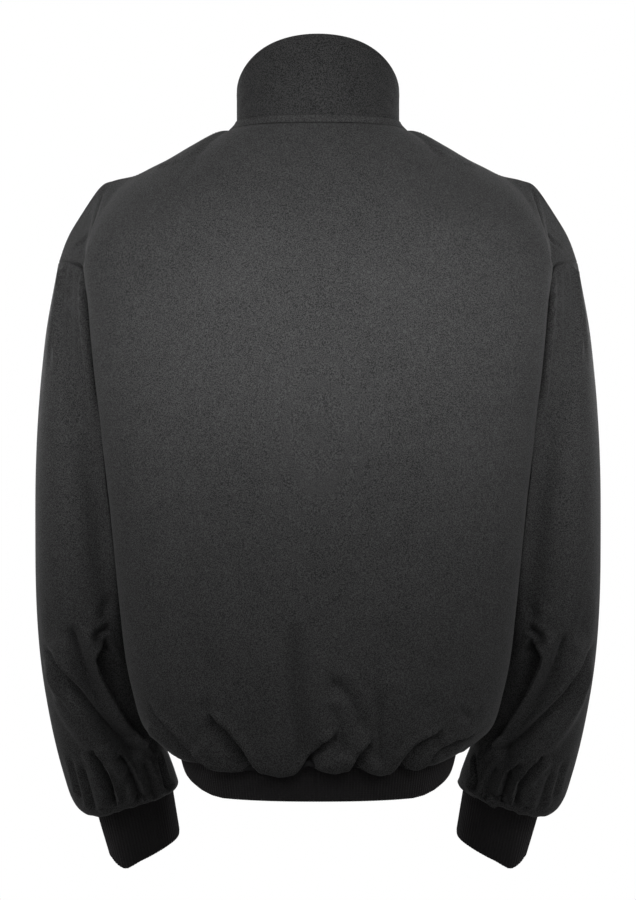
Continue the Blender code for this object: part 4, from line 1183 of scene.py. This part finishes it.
end = math.pi - math.asin(FRONT_EDGE / RIB_HALF_WIDTH)
dense = np.linspace(-end, end, 2400)
length = run_length(rib_surface(dense, [-640.0])[0])
count = RIB_COLUMNS * round(length[-1] / RIB_PITCH)
angles = np.interp(np.linspace(0, length[-1], count + 1), length, dense)
fold_levels = RIB_BOTTOM + np.array((1.8, 1.0, 0.5, 0.15, 0.0))
levels = np.concatenate([np.linspace(RIB_TOP + RIB_HIDDEN, RIB_BOTTOM + 3, 14), fold_levels])
points = ribbed(rib_surface(angles, levels), 1, False)
join = RIB_JOIN_DEPTH * np.exp(-((points[..., 0] - RIB_JOIN) / 1.3) ** 2) * (points[..., 1] > 0)
tuck = np.maximum(rolled_edge(edge_distance(points)[1:], 1.2), join)
hem_rib = cloth_piece("hem_rib_knit", points, RIB_WALL, 1, tuck, knit)
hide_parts("hem_rib")
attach(hem_rib, "jacket")

# =============================================================================
# Cuffs. Short tubes of the same rib knit, sewn inside the gathered sleeve ends,
# pulled in by their own stretch and hanging lower behind than in front.
# =============================================================================
CUFF_RIBS = 74

count = RIB_COLUMNS * CUFF_RIBS
dense = np.linspace(0, 8, 2400)
length = run_length(ring_points(mixed_ring(0.6), dense, CUFF_SQUARE))
places = np.interp(np.arange(count) * length[-1] / count, length, dense)
degrees = places * 45
drop = read_table(CUFF_HANG, degrees)
hang = np.where(degrees < 180, drop - CUFF[1].back_drop * np.sin(np.radians(degrees)), 0.0)
parts = np.concatenate([np.linspace(-0.24, 0.955, 20), [0.972, 0.986, 0.994, 0.998, 1.0]])
for side, sign in (("left", 1), ("right", -1)):
    points = np.array([ring_points(mixed_ring(part), places, CUFF_SQUARE) for part in parts])
    points[..., 2] -= hang[None, :] * np.maximum(parts, 0)[:, None] ** 2
    points = ribbed(points, -1, True)
    points = points * np.array((sign, 1.0, 1.0))
    tuck = rolled_edge(edge_distance(points, True)[1:2], 1.2)
    piece = cloth_piece("cuff_" + side + "_knit", points, RIB_WALL, -sign, tuck, knit, True)
    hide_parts("cuff_" + side)
    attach(piece, "jacket")

# =============================================================================
# Zip. Two woven black tapes stand behind the fronts' folded edges and carry
# moulded teeth, locked together from the throat to the foot of the waist rib.
# =============================================================================
TAPE_WIDTH = 13.0
TAPE_THICK = 0.8
TAPE_DEPTH = 2.1
TAPE_BEHIND_RIB = 1.2
TOOTH_PITCH = 2.6
TOOTH_HEIGHT = 1.35
TOOTH_REACH = 3.0
TOOTH_HOOK = 0.9            # how far a tooth reaches past the middle
TOOTH_PROUD = 1.8

zip_rows = np.linspace(0.12, FLAT_FROM_ROW + 1, 130)
face = body_surface(FRONT, zip_rows, [0.0], False)[:, 0]
face[:, 0] = 0.0
downward = np.gradient(face, axis=0)
downward /= np.linalg.norm(downward, axis=1, keepdims=True)
inward = np.stack([0 * downward[:, 0], -downward[:, 2], downward[:, 1]], axis=-1)
zip_line = face + inward * TAPE_DEPTH
behind_rib = -RIB_HALF_DEPTH + RIB_WALL + TAPE_BEHIND_RIB
foot = np.array([(0.0, behind_rib, level) for level in np.linspace(RIB_TOP - 1, RIB_BOTTOM + 1, 11)])
zip_line = np.concatenate([zip_line, foot])

tape_cloth, start, shader = new_material("woven_zip_tape")
u, v = start.cloth_places()
weft = (v * 7800.0).wave()
warp = (u * 5200.0).wave()
fleck = start.noise(800.0, 2.0)
shade = weft * 0.4 + warp * 0.3 + fleck.ramp(0.3, 0.7) * 0.3
start.coat(shader, {
    "Base Color": shade.mix((0.006, 0.006, 0.0065, 1.0), (0.022, 0.022, 0.023, 1.0)),
    "Roughness": fleck * 0.15 + 0.68,
    "Normal": (weft + warp).bump(0.4, 0.0004),
})

resin, start, shader = new_material("black_zip_teeth")
scuff = start.noise(500.0, 4.0)
start.coat(shader, {
    "Base Color": scuff.ramp(0.45, 0.75).mix((0.012, 0.012, 0.0125, 1), (0.035, 0.035, 0.036, 1)),
    "Roughness": scuff * 0.3 + 0.25,
})

TAPE_COLUMNS = (0.5, 1.2, 3.0, 4.6, 6.2, 8.0, 10.0, 11.6, 12.4, TAPE_WIDTH)
for side, sign in (("left", 1), ("right", -1)):
    grid = np.array([[point + np.array((sign * x, 0.0, 0.0)) for x in TAPE_COLUMNS] for point in zip_line])
    tuck = rolled_edge(edge_distance(grid), 0.35)
    tape = cloth_piece("zip_tape_" + side + "_woven", grid, TAPE_THICK, -sign, tuck, tape_cloth)
    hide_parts("zip_tape_" + side)
    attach(tape, "jacket")

    run = run_length(zip_line)
    first = 2.0 + (TOOTH_PITCH / 2 if sign < 0 else 0.0)
    vertices = []
    faces = []
    for centre in np.arange(first, run[-1] - 2.0, TOOTH_PITCH):
        k = int(np.searchsorted(run, centre)) - 1
        part = (centre - run[k]) / (run[k + 1] - run[k])
        middle = zip_line[k] * (1 - part) + zip_line[k + 1] * part
        down = (zip_line[k + 1] - zip_line[k]) / (run[k + 1] - run[k])
        out = np.array((0.0, down[2], -down[1]))
        base = len(vertices)
        for depth, inset in ((-0.7, 0.0), (TOOTH_PROUD - 0.45, 0.0), (TOOTH_PROUD, 0.4)):
            low = -TOOTH_HOOK + inset
            high = TOOTH_REACH - inset
            half = TOOTH_HEIGHT / 2 - inset * 0.6
            for x, along in ((low, -half * 0.7), (high, -half), (high, half), (low, half * 0.7)):
                vertices.append(middle + np.array((sign * x, 0.0, 0.0)) + down * along + out * depth)
        for level in (0, 4):
            for k in range(4):
                n = (k + 1) % 4
                faces.append((base + level + k, base + level + n, base + level + 4 + n, base + level + 4 + k))
        faces.append((base, base + 3, base + 2, base + 1))
        faces.append((base + 8, base + 9, base + 10, base + 11))
    faces = [face if sign > 0 else face[::-1] for face in faces]
    mesh = bpy.data.meshes.new("zip_teeth_" + side)
    mesh.from_pydata((np.array(vertices) * MM).tolist(), [], faces)
    mesh.materials.append(resin)
    row = linked("zip_teeth_" + side, mesh)
    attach(row, "jacket")

# =============================================================================
# Zip slider. A die-cast shield near the throat, with two lugs and the pin that
# the pull tab swings on, in dark metal worn bright along its edges.
# =============================================================================
SLIDER_ROW = 0.75
SLIDER_OUTLINE = (
    (0.0, 6.5), (2.6, 6.3), (4.1, 5.2), (4.4, 3.0), (4.1, 0.5),
    (3.5, -2.5), (3.2, -5.2), (2.4, -6.3), (0.0, -6.5),
)
SLIDER_PLATE = 1.6
SLIDER_CLEARANCE = 0.35
CHAIN_PROUD = 1.9
LUG_INNER = 2.6
LUG_OUTER = 3.8
PIN_RADIUS = 0.7
PIN_OUT = 2.7
PIN_UP = 3.6


def worn_metal(name, dull, bright):
    """Dark plated metal, finely scuffed and rubbed bright along edges and in patches."""
    made, start, shader = new_material(name)
    edge = start.node("NewGeometry", output=7).ramp(0.50, 0.62)
    scuff = start.noise(380.0, 5.0, 0.7)
    share = edge * 0.7 + scuff.ramp(0.55, 0.8) * 0.3
    start.coat(shader, {
        "Base Color": share.mix(dull, bright),
        "Roughness": scuff * 0.25 + 0.22,
        "Normal": scuff.bump(0.15, 0.0002),
        "Metallic": 1.0,
    })
    return made


metal = worn_metal("dark_zip_metal", (0.10, 0.10, 0.105, 1.0), (0.42, 0.42, 0.43, 1.0))


def slab(target, outline, low, high, axis="y"):
    """A plate cut to an outline of (across, up) places, between two depths."""
    front = []
    behind = []
    for a, b in outline:
        if axis == "y":
            front.append(target.verts.new((a, low, b)))
            behind.append(target.verts.new((a, high, b)))
        else:
            front.append(target.verts.new((low, a, b)))
            behind.append(target.verts.new((high, a, b)))
    count = len(outline)
    target.faces.new(front)
    target.faces.new(behind[::-1])
    for k in range(count):
        n = (k + 1) % count
        target.faces.new((front[n], front[k], behind[k], behind[n]))


def arc(centre, radius, start, end, count):
    """Places along an arc, its ends in degrees."""
    angles = np.radians(np.linspace(start, end, count))
    return [(centre[0] + radius * math.cos(a), centre[1] + radius * math.sin(a)) for a in angles]


def metal_piece(name, made, frame_of, bevel):
    """A cast piece in its own frame, its edges worn round."""
    bmesh.ops.recalc_face_normals(made, faces=made.faces)
    for vertex in made.verts:
        vertex.co *= MM
    mesh = bpy.data.meshes.new(name)
    made.to_mesh(mesh)
    made.free()
    mesh.transform(frame_of)
    mesh.shade_smooth()
    mesh.set_sharp_from_angle(angle=math.radians(40))
    mesh.materials.append(metal)
    piece = linked(name, mesh)
    edge = piece.modifiers.new("worn_edges", "BEVEL")
    edge.width = bevel * MM
    edge.segments = 2
    edge.limit_method = "ANGLE"
    return piece


here, below = body_surface(FRONT, [SLIDER_ROW, SLIDER_ROW + 0.2], [0.0], False)[:, 0]
down = Vector(below - here)
down.x = 0.0
down.normalize()
inner = Vector((0.0, -down.z, down.y))
sunk = TAPE_DEPTH - CHAIN_PROUD - SLIDER_CLEARANCE - SLIDER_PLATE
start_point = Vector((0.0, here[1], here[2])) + inner * sunk
turn = Matrix((Vector((1, 0, 0)), inner, -down)).transposed().to_4x4()
slider_frame = Matrix.Translation(start_point * MM) @ turn

made = bmesh.new()
outline = list(SLIDER_OUTLINE)
outline += [(-x, z) for x, z in SLIDER_OUTLINE[-2:0:-1]]
slab(made, outline, 0.0, SLIDER_PLATE)
for low, high in ((LUG_INNER, LUG_OUTER), (-LUG_OUTER, -LUG_INNER)):
    lug = [(0.4, PIN_UP + 1.7), (0.4, PIN_UP - 1.9)] + arc((-PIN_OUT, PIN_UP), 1.25, 290, 70, 9)
    slab(made, lug, low, high, "x")
pin = arc((-PIN_OUT, PIN_UP), PIN_RADIUS, 0, 342, 20)
slab(made, pin, -LUG_OUTER + 0.3, LUG_OUTER - 0.3, "x")
slider = metal_piece("zip_slider_cast", made, slider_frame, 0.28)
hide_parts("zip_slider")
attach(slider, "jacket")

# =============================================================================
# Pull tab. A flat plated tab, waisted below its eye and pierced near its round
# foot, hanging free on the slider's pin.
# =============================================================================
PULL_HALF_WIDTH = 2.2
PULL_LENGTH = 24.0
PULL_THICK = 1.3
EYE_INNER = 1.05
EYE_OUTER = 2.0

made = bmesh.new()
foot = arc((0, -PULL_LENGTH + PULL_HALF_WIDTH), PULL_HALF_WIDTH, 0, -180, 13)
side = [(-PULL_HALF_WIDTH, -14.0), (-1.55, -10.5), (-1.5, -6.0), (-2.1, -3.4), (-2.1, -1.6)]
outline = foot + side + [(-x, z) for x, z in side[::-1]]
slab(made, outline, -PULL_THICK / 2, PULL_THICK / 2)
count = 24
ring = []
for x in (-2.1, 2.1):
    for radius in (EYE_INNER, EYE_OUTER):
        ring.append([made.verts.new((x, radius * math.cos(a), radius * math.sin(a)))
                     for a in np.linspace(0, 2 * math.pi, count, endpoint=False)])
for k in range(count):
    n = (k + 1) % count
    for a, b in ((0, 1), (1, 3), (3, 2), (2, 0)):
        made.faces.new((ring[a][k], ring[a][n], ring[b][n], ring[b][k]))
pull_frame = slider_frame @ Matrix.Translation(Vector((0, -PIN_OUT, PIN_UP)) * MM)
pull = metal_piece("zip_pull_tab", made, pull_frame, 0.22)
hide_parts("zip_pull")
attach(pull, "pull_tab")

# =============================================================================
# Room. A plain pale floor at the wearer's feet and soft studio lights. The
# camera and reflections see an even white surround, whatever the lights do.
# =============================================================================
FLOOR_LEVEL = -1.45
FLOOR_REACH = 8.0
ROOM_LIGHT = 0.098
WHITE = (1.0, 1.0, 1.0, 1.0)


def seen_white(tree, lit, output):
    """Shows plain white to the camera, in reflections and through clear things, and the lit
    surface or sky to all other light."""
    start = Signal(tree)
    seen = 0.0
    for ray in ("Is Camera Ray", "Is Glossy Ray", "Is Transmission Ray"):
        seen = start.math("MAXIMUM", seen, start.node("LightPath", output=ray))
    white = start.node("Background" if output == "World Output" else "Emission", {0: WHITE, 1: 1.0})
    either = start.node("MixShader", {0: seen, 1: lit, 2: white})
    start.feed(tree.nodes[output].inputs["Surface"], either)


world = bpy.data.worlds.new("studio")
bpy.context.scene.world = world
world.use_nodes = True
sky = world.node_tree.nodes["Background"]
sky.inputs["Color"].default_value = WHITE
sky.inputs["Strength"].default_value = ROOM_LIGHT
seen_white(world.node_tree, Signal(world.node_tree, sky.outputs[0]), "World Output")

mesh = bpy.data.meshes.new("floor")
corners = [(x * FLOOR_REACH, y * FLOOR_REACH, FLOOR_LEVEL) for x, y in ((-1, -1), (1, -1), (1, 1), (-1, 1))]
mesh.from_pydata(corners, [], [(0, 1, 2, 3)])
floor = linked("floor", mesh)
paint, start, shader = new_material("pale_floor")
shader.inputs["Base Color"].default_value = (0.82, 0.82, 0.82, 1.0)
shader.inputs["Roughness"].default_value = 0.9
seen_white(paint.node_tree, Signal(paint.node_tree, shader.outputs[0]), "Material Output")
mesh.materials.append(paint)


Lamp = namedtuple("Lamp", "name place aim width height power")
KEY = Lamp("key", (0.0, 0.38, -0.19), (0.0, 0.0, -0.19), 1.5, 0.10, 1.75)
SIDE_KEY = Lamp("side_key", (0.58, 0.50, -0.17), (0.2, 0.0, -0.18), 0.7, 0.20, 0.75)
OTHER_LAMPS = (
    Lamp("yoke_behind", (0.0, 0.42, 0.01), (0.0, 0.05, -0.06), 0.36, 0.06, 0.26),
    Lamp("left", (1.5, 0.0, 0.3), (0.0, 0.0, -0.35), 1.0, 1.0, 0.6),
    Lamp("right", (-1.5, 0.0, 0.3), (0.0, 0.0, -0.35), 1.0, 1.0, 0.6),
    Lamp("top", (0.0, 0.15, 0.85), (0.0, 0.05, -0.1), 1.2, 0.4, 3.5),
)


def soft_light(lamp, name, hand=1, side=1):
    """A lamp hidden from the camera; hand and side of -1 carry it across and in front."""
    place, aim = (Vector((hand * x, side * y, z)) for x, y, z in (lamp.place, lamp.aim))
    data = bpy.data.lights.new(name, "AREA")
    data.shape = "RECTANGLE"
    data.size = lamp.width
    data.size_y = lamp.height
    data.energy = lamp.power
    made = linked(name, data)
    made.location = place
    made.rotation_euler = (aim - place).to_track_quat("-Z", "Y").to_euler()
    made.visible_camera = False


for face, side in (("behind", 1), ("before", -1)):
    soft_light(KEY, "key_" + face, 1, side)
    soft_light(SIDE_KEY, "key_" + face + "_left", 1, side)
    soft_light(SIDE_KEY, "key_" + face + "_right", -1, side)
for lamp in OTHER_LAMPS:
    soft_light(lamp, lamp.name)

bpy.context.scene.view_settings.view_transform = "Standard"
